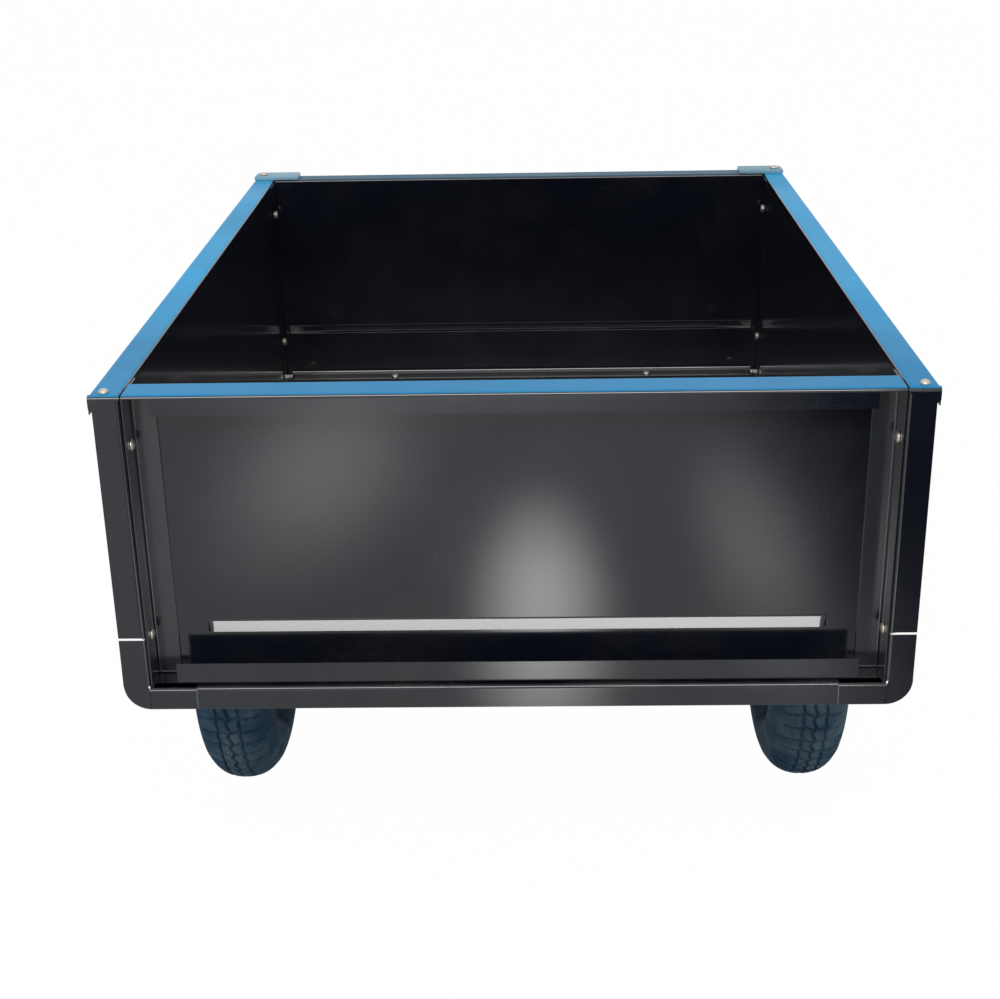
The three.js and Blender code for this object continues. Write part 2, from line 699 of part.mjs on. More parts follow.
const upperPlateZ = tongueTop + gap;
const lowerPlateZ = tongueBottom - gap - hitchPlateThickness;
piece('hitch_plate_upper', hitchPlate(upperPlateZ), blackPaint);
piece('hitch_plate_lower', hitchPlate(lowerPlateZ), blackPaint);
plateHoleY.forEach((y, i) => {
  const top = upperPlateZ + hitchPlateThickness + gap;
  const grip = top - (lowerPlateZ - gap);
  const parts = hexBolt(grip).map((g) => g.rotateX(Math.PI).translate(0, y, top));
  piece(`hitch_bolt_${['rear', 'front'][i]}`, made(parts), zinc);
});

const pinTop = upperPlateZ + hitchPlateThickness + gap;
const clipZ = lowerPlateZ - clipPlay - clipWire;
const pinFoot = lowerPlateZ - pinBelowPlate;
const clipHole = clipWire + 0.5;
piece('hitch_pin', made([turned([
  [0, pinFoot], [pinRadius - 1.5, pinFoot], [pinRadius, pinFoot + 3], [pinRadius, pinTop],
  [pinHeadRadius, pinTop], [pinHeadRadius, pinTop + 5], [pinHeadRadius - 2, pinTop + 7],
  [0, pinTop + 7],
], 20).translate(0, pinY, 0)],
[rodX(clipHole, -pinRadius - 2, pinRadius + 2, pinY, clipZ, 10)]), zinc);

function hairpin() {
  const out = pinRadius + clipWire + 1;
  const bend = out / 2;
  const points = [[-pinRadius - 9, 0], [-pinRadius, 0], [0, 0], [pinRadius + 6, 0],
    [pinRadius + 16, -1.5], [pinRadius + 16 + bend, bend], [pinRadius + 16, out + 1.5],
    [pinRadius + 6, out], [0, out], [-pinRadius - 2, out], [-pinRadius - 9, out + 3]];
  return made([wire(points.map(([x, y]) => [x, y, 0]), clipWire, 40)])
    .translate(0, pinY, clipZ);
}
piece('hairpin_clip', hairpin(), zinc);

// ---------------------------------------------------------------- latch that holds the bed down
const padTop = floorUnder - gap;
const standTop = padTop - padThickness - gap;
const standHalf = tubeHalf + gap + standPlate;
const pivotY = standY + standLength + 20;
const pivotZ = tongueTop + 22;

function latchStand() {
  const side = outline([
    [standY, tongueBottom + 2], [standY + standLength, tongueBottom + 2], [pivotY + 12, pivotZ - 16],
    [pivotY + 12, pivotZ + 12], [standY + standLength, pivotZ + 40],
    [standY + standLength, standTop], [standY, standTop],
  ]);
  return made([
    alongX(side, -standHalf, -standHalf + standPlate),
    alongX(side, standHalf - standPlate, standHalf),
    block(-standHalf, standHalf, standY, standY + standLength, standTop - standPlate, standTop),
  ], [
    rodX(crossBoltHole, -standHalf - 1, standHalf + 1, standBoltY, tongueHeight, 12),
    rodX(crossBoltHole, -standHalf - 1, standHalf + 1, pivotY, pivotZ, 12),
  ]);
}

piece('latch_stand', latchStand(), blackPaint);
piece('stand_pad', block(-standHalf - 6, standHalf + 6, standY - 2, standY + standLength - 2,
  standTop + gap, padTop), padRubber);
piece('stand_bolt', hexBoltX(standHalf + gap, standBoltY, tongueHeight), zinc);
piece('latch_pivot_bolt', hexBoltX(standHalf + gap, pivotY, pivotZ), zinc);

// Hat channel across the bed, open side up against the floor.
function floorChannel() {
  const front = standY - channelToStand;
  const rear = front - channelWidth;
  const bottom = padTop - channelDepth;
  const t = channelSheet;
  const section = outline([
    [rear, padTop], [rear + channelFlange, padTop], [rear + channelFlange, bottom + t],
    [front - channelFlange, bottom + t], [front - channelFlange, padTop], [front, padTop],
    [front, padTop - t], [front - channelFlange + t, padTop - t],
    [front - channelFlange + t, bottom], [rear + channelFlange - t, bottom],
    [rear + channelFlange - t, padTop - t], [rear, padTop - t],
  ]);
  const half = seamX - gap;
  return made([alongX(section, -half, half)]);
}

piece('floor_channel', floorChannel(), blackPaint);

const strikeRear = frontY + sheet + gap;
const strikeSheet = 3;
const strikeTop = floorTop + 8;
const strikeFront = strikeRear + strikeReach;
piece('latch_strike', made([
  block(-25, 25, strikeRear, strikeRear + strikeSheet, strikeTop - strikeSheet, strikeTop + 42),
  block(-25, 25, strikeRear, strikeFront, strikeTop - strikeSheet, strikeTop),
]), zinc);

function latchLever() {
  const noseY = strikeFront + hookClear;
  const half = leverThickness / 2;
  const lever = outline([
    [pivotY - 11, pivotZ - 8], [pivotY + 4, pivotZ - 13], [pivotY + 14, pivotZ],
    [noseY + 26, strikeTop - 4], [noseY + 36, strikeTop + 40], [gripFootY + 6, gripFootZ - 2],
    [gripFootY - 6, gripFootZ + 2], [noseY + 14, strikeTop + 44], [noseY, strikeTop + 16],
    [noseY, strikeTop + 1], [noseY + 8, strikeTop - 1], [pivotY - 6, pivotZ + 14],
  ]);
  return made([alongX(lever, -half, half), gripTang(half, gripTangHalf, gripLength * 0.8)],
    [rodX(crossBoltHole, -half - 1, half + 1, pivotY, pivotZ, 16)]);
}

// Flat end of the lever inside its grip; the grip's slot is the same block with its clearance.
function gripTang(halfX, halfY, length) {
  return block(-halfX, halfX, -halfY, halfY, -12, length).rotateX(-gripTilt)
    .translate(0, gripFootY, gripFootZ);
}

const gripTangHalf = 5.5;
const gripFootY = strikeFront + 62;
const gripFootZ = strikeTop + 130;
const gripTilt = 0.3;

function latchGrip() {
  const foot = 4;
  const end = foot + gripLength;
  const body = turned([[0, foot], [gripRadius - 3, foot], [gripRadius, foot + 4],
    [gripRadius - 2, foot + gripLength / 2], [gripRadius, end - 10], [gripRadius - 5, end],
    [0, end]], 20).rotateX(-gripTilt).translate(0, gripFootY, gripFootZ);
  return made([body],
    [gripTang(leverThickness / 2 + gap, gripTangHalf + gap, gripLength * 0.8 + gap)]);
}

piece('latch_lever', latchLever(), zinc);
piece('latch_grip', latchGrip(), padRubber);

// Torsion spring about the pivot bolt, beside the lever.
function latchSpring() {
  const turns = 3;
  const coilRadius = boltRadius + 1 + springWire + 1;
  const perTurn = 12;
  const points = [];
  for (let i = 0; i <= turns * perTurn; i += 1) {
    const angle = (2 * Math.PI * i) / perTurn - Math.PI / 2;
    points.push([leverThickness / 2 + springWire + 1 + springPitch * (i / perTurn),
      coilRadius * Math.cos(angle), coilRadius * Math.sin(angle)]);
  }
  return made([wire(points, springWire, turns * perTurn, 0.5, 6)])
    .translate(0, pivotY, pivotZ);
}

const springWire = 1.2;
const springPitch = 3;
piece('latch_spring', latchSpring(), plainSteel);

export default cart;
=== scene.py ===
"""Tow behind dump cart: fine sheet metal, tyres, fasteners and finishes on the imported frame.

Metres, +Z up, +Y the towing direction. Every place is read from the frame's own nodes.
"""

import math

import bmesh
import bpy
import numpy as np
from mathutils import Matrix, Vector


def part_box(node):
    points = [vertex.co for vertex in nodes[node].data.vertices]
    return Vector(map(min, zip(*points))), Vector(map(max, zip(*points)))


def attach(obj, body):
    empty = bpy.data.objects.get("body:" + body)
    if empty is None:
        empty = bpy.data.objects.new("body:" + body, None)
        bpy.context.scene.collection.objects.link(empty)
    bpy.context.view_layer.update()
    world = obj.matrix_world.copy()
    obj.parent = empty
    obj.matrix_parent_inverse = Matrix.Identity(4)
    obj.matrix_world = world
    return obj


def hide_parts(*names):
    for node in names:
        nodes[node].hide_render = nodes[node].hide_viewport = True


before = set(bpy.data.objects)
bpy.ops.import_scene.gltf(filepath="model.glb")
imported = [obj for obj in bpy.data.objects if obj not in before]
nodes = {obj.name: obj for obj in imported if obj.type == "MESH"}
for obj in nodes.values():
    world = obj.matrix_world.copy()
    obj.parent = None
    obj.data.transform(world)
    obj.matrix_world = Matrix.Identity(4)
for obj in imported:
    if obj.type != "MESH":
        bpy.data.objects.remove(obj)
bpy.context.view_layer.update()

MM = 0.001
SIDES = (("left", -1.0), ("right", 1.0))

# ------------------------------------------------------------------ places read from the frame
side_lo, side_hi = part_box("side_panel_right")
floor_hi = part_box("floor_panel")[1]
gate_lo, gate_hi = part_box("tailgate_panel")
front_lo, front_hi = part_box("front_panel")
guide_lo, guide_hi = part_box("tailgate_guide_right")
stop_lo, stop_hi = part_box("tailgate_stop_right")
cap_lo, cap_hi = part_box("corner_cap_right")
tyre_lo, tyre_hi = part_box("tyre_right")
hub_lo, hub_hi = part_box("hub_right")
axle_lo, axle_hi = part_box("axle")

SHEET = 1.2 * MM                          # gauge of the bed panels
GUIDE_SHEET = 1.5 * MM
BEND = 2.6 * MM                           # inside radius of a pressed bend
rail_top = side_hi.z
rear_y = side_lo.y
bed_front = side_hi.y
end_foot = side_lo.z
floor_top = floor_hi.z
rail_x = side_hi.x
seam_x = side_lo.x
wall_x = guide_hi.x + 0.3 * MM            # side wall's inner face
post_x = wall_x + 27.5 * MM
front_y = front_lo.y + 40 * MM            # front wall's inner face
gate_y = guide_hi.y + 0.3 * MM            # tailgate's outer face
strip_z = floor_hi.z - SHEET - 0.3 * MM   # top of the side panels' floor strips
SLIT_BELOW = 263.5 * MM                   # relief slit across each end flange
SLIT_HALF = 1.3 * MM
EAR_DEPTH = 16 * MM                       # widened top of the end flange
RAIL_LIP = 19 * MM
SHOULDER = 5.6 * MM                       # end flange's rounded top, along the rail
axle_y = (axle_lo.y + axle_hi.y) / 2
axle_z = (axle_lo.z + axle_hi.z) / 2
wheel_x = (tyre_lo.x + tyre_hi.x) / 2


# ------------------------------------------------------------------ mesh making
SHARP = 35                                # degrees; sharper edges than this are rounded


def scene_object(name, data):
    obj = bpy.data.objects.new(name, data)
    bpy.context.scene.collection.objects.link(obj)
    return obj


def make_mesh(name, verts, faces):
    """A mesh object from points and faces; its volume decides which way the faces turn."""
    mesh = bpy.data.meshes.new(name)
    mesh.from_pydata(np.asarray(verts, float).reshape(-1, 3).tolist(), [], faces)
    mesh.validate()
    bm = bmesh.new()
    bm.from_mesh(mesh)
    bmesh.ops.remove_doubles(bm, verts=bm.verts, dist=1e-6)
    bmesh.ops.dissolve_degenerate(bm, dist=1e-7, edges=bm.edges)
    bmesh.ops.recalc_face_normals(bm, faces=bm.faces)
    bm.to_mesh(mesh)
    bm.free()
    mesh.polygons.foreach_set("use_smooth", [True] * len(mesh.polygons))
    return scene_object(name, mesh)


def grid_faces(rows, cols, wrap_rows=False, wrap_cols=False, start=0):
    """Quads of a rows by cols grid of points, as index lists."""
    i = np.arange(rows if wrap_rows else rows - 1)[:, None]
    j = np.arange(cols if wrap_cols else cols - 1)[None, :]
    a = i * cols + j
    b = ((i + 1) % rows) * cols + j
    c = ((i + 1) % rows) * cols + (j + 1) % cols
    d = i * cols + (j + 1) % cols
    return (np.stack([a, b, c, d], -1).reshape(-1, 4) + start).tolist()


def shell(grid, normals, thickness):
    """Closed shell: the grid's points pushed half the thickness each way along the normals."""
    rows, cols = grid.shape[:2]
    outer = grid + normals * thickness / 2
    inner = grid - normals * thickness / 2
    count = rows * cols
    faces = grid_faces(rows, cols) + grid_faces(rows, cols, start=count)
    ring = np.concatenate([
        np.arange(cols), np.arange(1, rows) * cols + cols - 1,
        (rows - 1) * cols + np.arange(cols - 2, -1, -1), np.arange(rows - 2, 0, -1) * cols])
    after = np.roll(ring, -1)
    faces += np.stack([ring, after, after + count, ring + count], -1).tolist()
    return np.concatenate([outer.reshape(-1, 3), inner.reshape(-1, 3)]), faces


def bent_line(corners, radius, arc_steps=6, extra=None, ease=1.2 * MM):
    """A line through the corners, each one rounded by an arc of the radius, with exact normals.

    extra gives more points on a straight stretch, as shares of the corner to corner distance.
    """
    corners = np.asarray(corners, float)
    radii = np.broadcast_to(radius, (len(corners),))
    extra = extra or {}
    points, normals = [], []
    last = corners[0]
    for k in range(len(corners) - 1):
        a, b = corners[k], corners[k + 1]
        direction = (b - a) / np.linalg.norm(b - a)
        normal = np.array([-direction[1], direction[0]])
        if k + 2 < len(corners):
            following = corners[k + 2] - b
            following /= np.linalg.norm(following)
            turn = math.atan2(direction[0] * following[1] - direction[1] * following[0],
                              float(direction @ following))
            cut = abs(radii[k + 1] * math.tan(turn / 2))
        else:
            turn, cut = 0.0, 0.0
        end = b - direction * cut
        stretch = [last, last + direction * ease]
        for share in extra.get(k, ()):
            stretch.append(a + (b - a) * share)
        stretch += [end - direction * ease, end]
        along = sorted(float((p - last) @ direction) for p in stretch)
        length = float((end - last) @ direction)
        for s in along:
            if 0 <= s <= length + 1e-9:
                points.append(last + direction * s)
                normals.append(normal)
        if turn:
            side = math.copysign(1.0, turn)
            centre = end + normal * side * radii[k + 1]
            for step in range(1, arc_steps + 1):
                angle = turn * step / arc_steps
                turned_normal = np.array([
                    normal[0] * math.cos(angle) - normal[1] * math.sin(angle),
                    normal[0] * math.sin(angle) + normal[1] * math.cos(angle)])
                points.append(centre - side * radii[k + 1] * turned_normal)
                normals.append(turned_normal)
            last = points[-1]
    return np.array(points), np.array(normals)


def folded(profile, stations, place, thickness, emboss=None, widths=None, limits=None):
    """Sheet bent along a profile and carried along stations, with a height added by emboss.

    place(a, b, s) turns profile coordinates a, b and the station s into x, y, z. widths scales
    the stations at each profile point; limits gives each point its own first and last station.
    """
    points, normals = profile
    a, s = np.meshgrid(points[:, 0], stations, indexing="ij")
    b = np.broadcast_to(points[:, 1][:, None], a.shape)
    if widths is not None:
        s = s * widths[:, None]
    if limits is not None:
        s = limits[0][:, None] + s * (limits[1] - limits[0])[:, None]
    if emboss is not None:
        lift = emboss(a, b, s)
        a = a + normals[:, 0][:, None] * lift
        b = b + normals[:, 1][:, None] * lift
    grid = np.stack(place(a, b, s), -1)
    origin = np.stack(place(np.zeros_like(a), np.zeros_like(a), np.zeros_like(s)), -1)
    tip = np.stack(place(np.broadcast_to(normals[:, 0][:, None], a.shape),
                         np.broadcast_to(normals[:, 1][:, None], a.shape),
                         np.zeros_like(s)), -1)
    return shell(grid, tip - origin, thickness)


def joined(*parts):
    """Points and faces of several closed shells as one list."""
    verts, faces, start = [], [], 0
    for part_verts, part_faces in parts:
        verts.append(part_verts)
        faces += [[i + start for i in face] for face in part_faces]
        start += len(part_verts)
    return np.concatenate(verts), faces


def slab(outline, low, high, place):
    """A flat plate: an outline of points, carried from low to high."""
    outline = np.asarray(outline, float)
    n = len(outline)
    lower = np.stack(place(outline[:, 0], outline[:, 1], np.full(n, low)), -1)
    upper = np.stack(place(outline[:, 0], outline[:, 1], np.full(n, high)), -1)
    i = np.arange(n)
    j = (i + 1) % n
    rim = np.stack([i, j, j + n, i + n], -1).tolist()
    return np.concatenate([lower, upper]), [list(range(n)), list(range(n, 2 * n))] + rim


def turned(profile, place, steps=32):
    """A profile of (radius, height) points spun about its axis; the first and last lie on it or
    the profile closes on itself. place(a, b, h) lays the axis h where it belongs."""
    profile = np.asarray(profile, float)
    angle = np.linspace(0, 2 * math.pi, steps, endpoint=False)
    r, t = np.meshgrid(profile[:, 0], angle, indexing="ij")
    h = np.broadcast_to(profile[:, 1][:, None], r.shape)
    verts = np.stack(place(r * np.cos(t), r * np.sin(t), h), -1).reshape(-1, 3)
    return verts, grid_faces(len(profile), steps, wrap_cols=True)


def rounded(profile, radius, steps=3):
    """An open profile with its inner corners rounded by short arcs."""
    return bent_line(profile, radius, arc_steps=steps, ease=0.0)[0]


def soften(obj, width):
    """Rounds the sharp edges, as pressing and paint do."""
    bevel = obj.modifiers.new("edge", "BEVEL")
    bevel.width = width
    bevel.segments = 2
    bevel.limit_method = "ANGLE"
    bevel.angle_limit = math.radians(SHARP)
    bevel.harden_normals = True
    return obj


def flat_shade_sharp(obj, angle):
    """Smooth shading that stops at edges sharper than the angle."""
    obj.data.set_sharp_from_angle(angle=math.radians(angle))
    return obj


def eased_copy(node, width):
    """A CAD node's own shape with softened edges, standing for the node."""
    mesh = nodes[node].data.copy()
    mesh.materials.clear()
    bm = bmesh.new()
    bm.from_mesh(mesh)
    bmesh.ops.remove_doubles(bm, verts=bm.verts, dist=2e-6)
    bmesh.ops.dissolve_limit(bm, angle_limit=math.radians(0.6), verts=bm.verts, edges=bm.edges)
    bm.to_mesh(mesh)
    bm.free()
    mesh.polygons.foreach_set("use_smooth", [True] * len(mesh.polygons))
    return soften(scene_object(node + "_skin", mesh), width)


def finished(obj, material, body, slot, *replaced):
    """Gives a piece its material, the body it rides on and the nodes it stands for; the slot
    argument is not used.
    """
    obj.data.materials.clear()
    obj.data.materials.append(material)
    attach(obj, body)
    if replaced:
        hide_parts(*replaced)
    return obj


# ------------------------------------------------------------------ shader tools
def node_group(name, inputs, outputs):
    """An empty shader node group with its sockets; returns it with its two end nodes."""
    tree = bpy.data.node_groups.new(name, "ShaderNodeTree")
    for label, default in inputs:
        kind = "NodeSocketColor" if isinstance(default, tuple) and len(default) == 4 else (
            "NodeSocketVector" if isinstance(default, tuple) else "NodeSocketFloat")
        socket = tree.interface.new_socket(name=label, in_out="INPUT", socket_type=kind)
        socket.default_value = default
    for label, kind in outputs:
        tree.interface.new_socket(name=label, in_out="OUTPUT", socket_type=kind)
    start = tree.nodes.new("NodeGroupInput")
    end = tree.nodes.new("NodeGroupOutput")
    return tree, start, end


def feed(tree, socket, value):
    """Links a node's output to the socket, or sets the socket's own value."""
    if isinstance(value, bpy.types.NodeSocket):
        tree.links.new(value, socket)
    elif value is not None:
        socket.default_value = value


def set_sockets(tree, node, values):
    for label, value in values.items():
        feed(tree, node.inputs[label], value)


def math_node(tree, operation, a, b=None, c=None, clamp=False):
    node = tree.nodes.new("ShaderNodeMath")
    node.operation = operation
    node.use_clamp = clamp
    for socket, value in zip(node.inputs, (a, b, c)):
        feed(tree, socket, value)
    return node.outputs[0]


def product(tree, a, b, clamp=False):
    return math_node(tree, "MULTIPLY", a, b, clamp=clamp)


def mix_color(tree, factor, a, b, blend="MIX"):
    node = tree.nodes.new("ShaderNodeMix")
    node.data_type = "RGBA"
    node.blend_type = blend
    feed(tree, node.inputs[0], factor)
    feed(tree, node.inputs[6], a)
    feed(tree, node.inputs[7], b)
    return node.outputs[2]


def noise(tree, vector, scale, detail=3.0, roughness=0.55):
    node = tree.nodes.new("ShaderNodeTexNoise")
    feed(tree, node.inputs["Vector"], vector)
    feed(tree, node.inputs["Scale"], scale)
    node.inputs["Detail"].default_value = detail
    node.inputs["Roughness"].default_value = roughness
    return node.outputs["Fac"]


def ramp(tree, value, low, high, to_low=0.0, to_high=1.0):
    node = tree.nodes.new("ShaderNodeMapRange")
    node.interpolation_type = "SMOOTHSTEP"
    feed(tree, node.inputs["Value"], value)
    set_sockets(tree, node, {"From Min": low, "From Max": high, "To Min": to_low,
                             "To Max": to_high})
    return node.outputs[0]


def stretched(tree, vector, scale):
    node = tree.nodes.new("ShaderNodeMapping")
    feed(tree, node.inputs["Vector"], vector)
    node.inputs["Scale"].default_value = scale
    return node.outputs[0]


def bump(tree, height, strength, distance, normal=None):
    node = tree.nodes.new("ShaderNodeBump")
    set_sockets(tree, node, {"Strength": strength, "Distance": distance, "Height": height,
                             "Normal": normal})
    return node.outputs[0]


def build_dust():
    """Dust that settles in soft patches on upward faces: a mask from noise and the normal's z."""
    tree, start, end = node_group(
        "settled_dust", [("Vector", (0.0, 0.0, 0.0)), ("Scale", 6.0), ("Amount", 0.3)],
        [("Mask", "NodeSocketFloat")])
    geometry = tree.nodes.new("ShaderNodeNewGeometry")
    split = tree.nodes.new("ShaderNodeSeparateXYZ")
    tree.links.new(geometry.outputs["Normal"], split.inputs[0])
    upward = ramp(tree, split.outputs["Z"], 0.2, 1.0, 0.25, 1.0)
    broad = noise(tree, start.outputs["Vector"], start.outputs["Scale"], 5.0, 0.6)
    fine = noise(tree, start.outputs["Vector"], 900.0, 2.0, 0.5)
    patch = ramp(tree, broad, 0.42, 0.7)
    speck = ramp(tree, fine, 0.35, 0.75)
    mask = product(tree, product(tree, patch, speck), upward)
    mask = product(tree, mask, start.outputs["Amount"], clamp=True)
    tree.links.new(mask, end.inputs["Mask"])
    return tree


def build_wear():
    """Edge wear: how far the bevelled normal leans from the true one, broken up by noise."""
    tree, start, end = node_group(
        "edge_wear", [("Vector", (0.0, 0.0, 0.0)), ("Radius", 0.001), ("Amount", 0.5)],
        [("Mask", "NodeSocketFloat")])
    geometry = tree.nodes.new("ShaderNodeNewGeometry")
    bevel = tree.nodes.new("ShaderNodeBevel")
    bevel.samples = 4
    tree.links.new(start.outputs["Radius"], bevel.inputs["Radius"])
    dot = tree.nodes.new("ShaderNodeVectorMath")
    dot.operation = "DOT_PRODUCT"
    tree.links.new(bevel.outputs[0], dot.inputs[0])
    tree.links.new(geometry.outputs["Normal"], dot.inputs[1])
    lean = ramp(tree, dot.outputs["Value"], 0.99, 0.8)
    broken = ramp(tree, noise(tree, start.outputs["Vector"], 140.0, 4.0, 0.65), 0.45, 0.7)
    mask = product(tree, product(tree, lean, broken), start.outputs["Amount"], clamp=True)
    tree.links.new(mask, end.inputs["Mask"])
    return tree


def build_scratches():
    """Fine hairline scratches: thin bands of stretched noise in two crossing directions."""
    tree, start, end = node_group(
        "hairlines", [("Vector", (0.0, 0.0, 0.0)), ("Amount", 0.3)],
        [("Mask", "NodeSocketFloat")])
    lines = []
    for scale in ((3.0, 60.0, 260.0), (240.0, 50.0, 4.0)):
        value = noise(tree, stretched(tree, start.outputs["Vector"], scale), 3.0, 2.0, 0.5)
        off_middle = math_node(tree, "SUBTRACT", value, 0.5)
        lines.append(ramp(tree, math_node(tree, "ABSOLUTE", off_middle), 0.004, 0.0))
    both = math_node(tree, "MAXIMUM", lines[0], lines[1])
    where = ramp(tree, noise(tree, start.outputs["Vector"], 9.0, 2.0), 0.5, 0.65)
    mask = product(tree, product(tree, both, where), start.outputs["Amount"], clamp=True)
    tree.links.new(mask, end.inputs["Mask"])
    return tree


DUST = build_dust()
WEAR = build_wear()
HAIRLINES = build_scratches()


def effect(tree, group, **values):
    node = tree.nodes.new("ShaderNodeGroup")
    node.node_tree = group
    set_sockets(tree, node, values)
    return node.outputs[0]


def new_material(name):
    material = bpy.data.materials.new(name)
    material.use_nodes = True
    tree = material.node_tree
    shader = tree.nodes["Principled BSDF"]
    place = tree.nodes.new("ShaderNodeTexCoord").outputs["Object"]
    return material, tree, shader, place


def enamel(name, color, painted_sky_top=None, top_z=0.0, roughness=0.2, coat=0.6, dust=0.25,
           painted_sky_far=None):
    """Sprayed gloss enamel: orange peel, faint dust, hairlines and worn edges.

    The top colour is painted sky reflection: it covers the faces that lie within a millimetre of
    top_z, which carry no clear coat; the far top colour is that painted reflection's tone from the
    middle of the bed forward.
    """
    material, tree, shader, place = new_material(name)
    shade = noise(tree, place, 2.2, 3.0)
    deep = tuple(c * 0.72 for c in color[:3]) + (1.0,)
    base = mix_color(tree, ramp(tree, shade, 0.35, 0.65), deep, color)
    rough = ramp(tree, noise(tree, place, 5.0, 4.0), 0.3, 0.7, roughness * 0.8, roughness * 1.25)
    # Painted sky reflection on the top faces: a colour standing in for the sky mirrored in the
    # gloss, blended from the rear to a second painted tone by the middle of the bed.
    if painted_sky_top is not None:
        split = tree.nodes.new("ShaderNodeSeparateXYZ")
        tree.links.new(place, split.inputs[0])
        on_top = ramp(tree, split.outputs["Z"], top_z - 1.6 * MM, top_z - 0.4 * MM)
        top = painted_sky_top
        if painted_sky_far is not None:
            top = mix_color(tree, ramp(tree, split.outputs["Y"], rear_y, (rear_y + bed_front) / 2),
                            painted_sky_top, painted_sky_far)
        cloud = ramp(tree, noise(tree, place, 7.0, 4.0), 0.3, 0.7, 0.9, 1.06)
        top = mix_color(tree, 1.0, top, cloud, "MULTIPLY")
        base = mix_color(tree, on_top, base, top)
        rough = math_node(tree, "ADD", rough, product(tree, on_top, 0.2))
        tree.links.new(ramp(tree, on_top, 0.0, 1.0, coat, 0.0), shader.inputs["Coat Weight"])
        shader.inputs["Specular IOR Level"].default_value = 0.1
    dust_mask = effect(tree, DUST, Vector=place, Scale=8.0, Amount=dust)
    base = mix_color(tree, dust_mask, base, (0.2, 0.19, 0.17, 1.0))
    line_mask = effect(tree, HAIRLINES, Vector=place, Amount=0.35)
    base = mix_color(tree, line_mask, base, (0.12, 0.125, 0.13, 1.0))
    wear_mask = effect(tree, WEAR, Vector=place, Radius=0.0008, Amount=0.12)
    base = mix_color(tree, wear_mask, base, (0.22, 0.22, 0.23, 1.0))
    rough = math_node(tree, "ADD", rough, product(tree, dust_mask, 0.5), clamp=True)
    tree.links.new(base, shader.inputs["Base Color"])
    tree.links.new(rough, shader.inputs["Roughness"])
    shader.inputs["Coat Weight"].default_value = coat
    shader.inputs["Coat Roughness"].default_value = 0.1
    peel = noise(tree, place, 420.0, 2.0, 0.4)
    wave = noise(tree, place, 11.0, 2.0, 0.4)
    normal = bump(tree, wave, 0.12, 0.004)
    normal = bump(tree, peel, 0.05, 0.0002, normal)
    tree.links.new(normal, shader.inputs["Normal"])
    return material


def plated(name, color, roughness=0.34, tint=(0.55, 0.5, 0.36, 1.0), grain=900.0):
    """Zinc plate or bare bar: mottled metal with faint yellow passivation and fine grain."""
    material, tree, shader, place = new_material(name)
    mottle = noise(tree, place, 160.0, 4.0, 0.65)
    base = mix_color(tree, ramp(tree, mottle, 0.45, 0.75, 0.0, 0.45), color, tint)
    spots = ramp(tree, noise(tree, place, 520.0, 3.0, 0.6), 0.62, 0.74)
    base = mix_color(tree, product(tree, spots, 0.35), base, (0.2, 0.17, 0.13, 1.0))
    tree.links.new(base, shader.inputs["Base Color"])
    rough = ramp(tree, noise(tree, place, 260.0, 3.0), 0.3, 0.7, roughness * 0.8, roughness * 1.4)
    tree.links.new(rough, shader.inputs["Roughness"])
    shader.inputs["Metallic"].default_value = 0.92
    tree.links.new(bump(tree, noise(tree, place, grain, 2.0), 0.12, 0.0001),
                   shader.inputs["Normal"])
    return material


def rubber(name, color, dusty, roughness=0.7, dust=0.5, sheen=0.1, specular=0.4):
    """Moulded rubber: fine pitting, blotches of a lighter tone and dust on upward faces."""
    material, tree, shader, place = new_material(name)
    broad = noise(tree, place, 18.0, 5.0, 0.6)
    base = mix_color(tree, ramp(tree, broad, 0.35, 0.7, 0.0, dust), color, dusty)
    dust_mask = effect(tree, DUST, Vector=place, Scale=22.0, Amount=0.25)
    base = mix_color(tree, dust_mask, base, (0.14, 0.14, 0.13, 1.0))
    tree.links.new(base, shader.inputs["Base Color"])
    rough = ramp(tree, noise(tree, place, 60.0, 3.0), 0.3, 0.7, roughness * 0.85, roughness * 1.12)
    tree.links.new(rough, shader.inputs["Roughness"])
    shader.inputs["Sheen Weight"].default_value = sheen
    shader.inputs["Specular IOR Level"].default_value = specular
    fine = noise(tree, place, 1500.0, 2.0, 0.5)
    coarse = noise(tree, place, 220.0, 3.0, 0.5)
    normal = bump(tree, coarse, 0.15, 0.0004)
    tree.links.new(bump(tree, fine, 0.2, 0.0001, normal), shader.inputs["Normal"])
    return material


def moulded_nylon(name, color):
    material, tree, shader, place = new_material(name)
    base = mix_color(tree, ramp(tree, noise(tree, place, 90.0, 3.0), 0.35, 0.7, 0.0, 0.5), color,
                     tuple(c * 0.8 for c in color[:3]) + (1.0,))
    tree.links.new(base, shader.inputs["Base Color"])
    tree.links.new(ramp(tree, noise(tree, place, 70.0), 0.3, 0.7, 0.4, 0.6),
                   shader.inputs["Roughness"])
    tree.links.new(bump(tree, noise(tree, place, 700.0), 0.1, 0.0001), shader.inputs["Normal"])
    return material


# Painted sky reflection for the top faces of the rails and the tailgate flange: blue at the rear, a
# lighter painted blue towards the front.
PAINTED_SKY_NEAR = (0.008, 0.215, 0.455, 1.0)
PAINTED_SKY_FAR = (0.02, 0.36, 0.7, 1.0)
BLACK = (0.005, 0.0065, 0.012, 1.0)

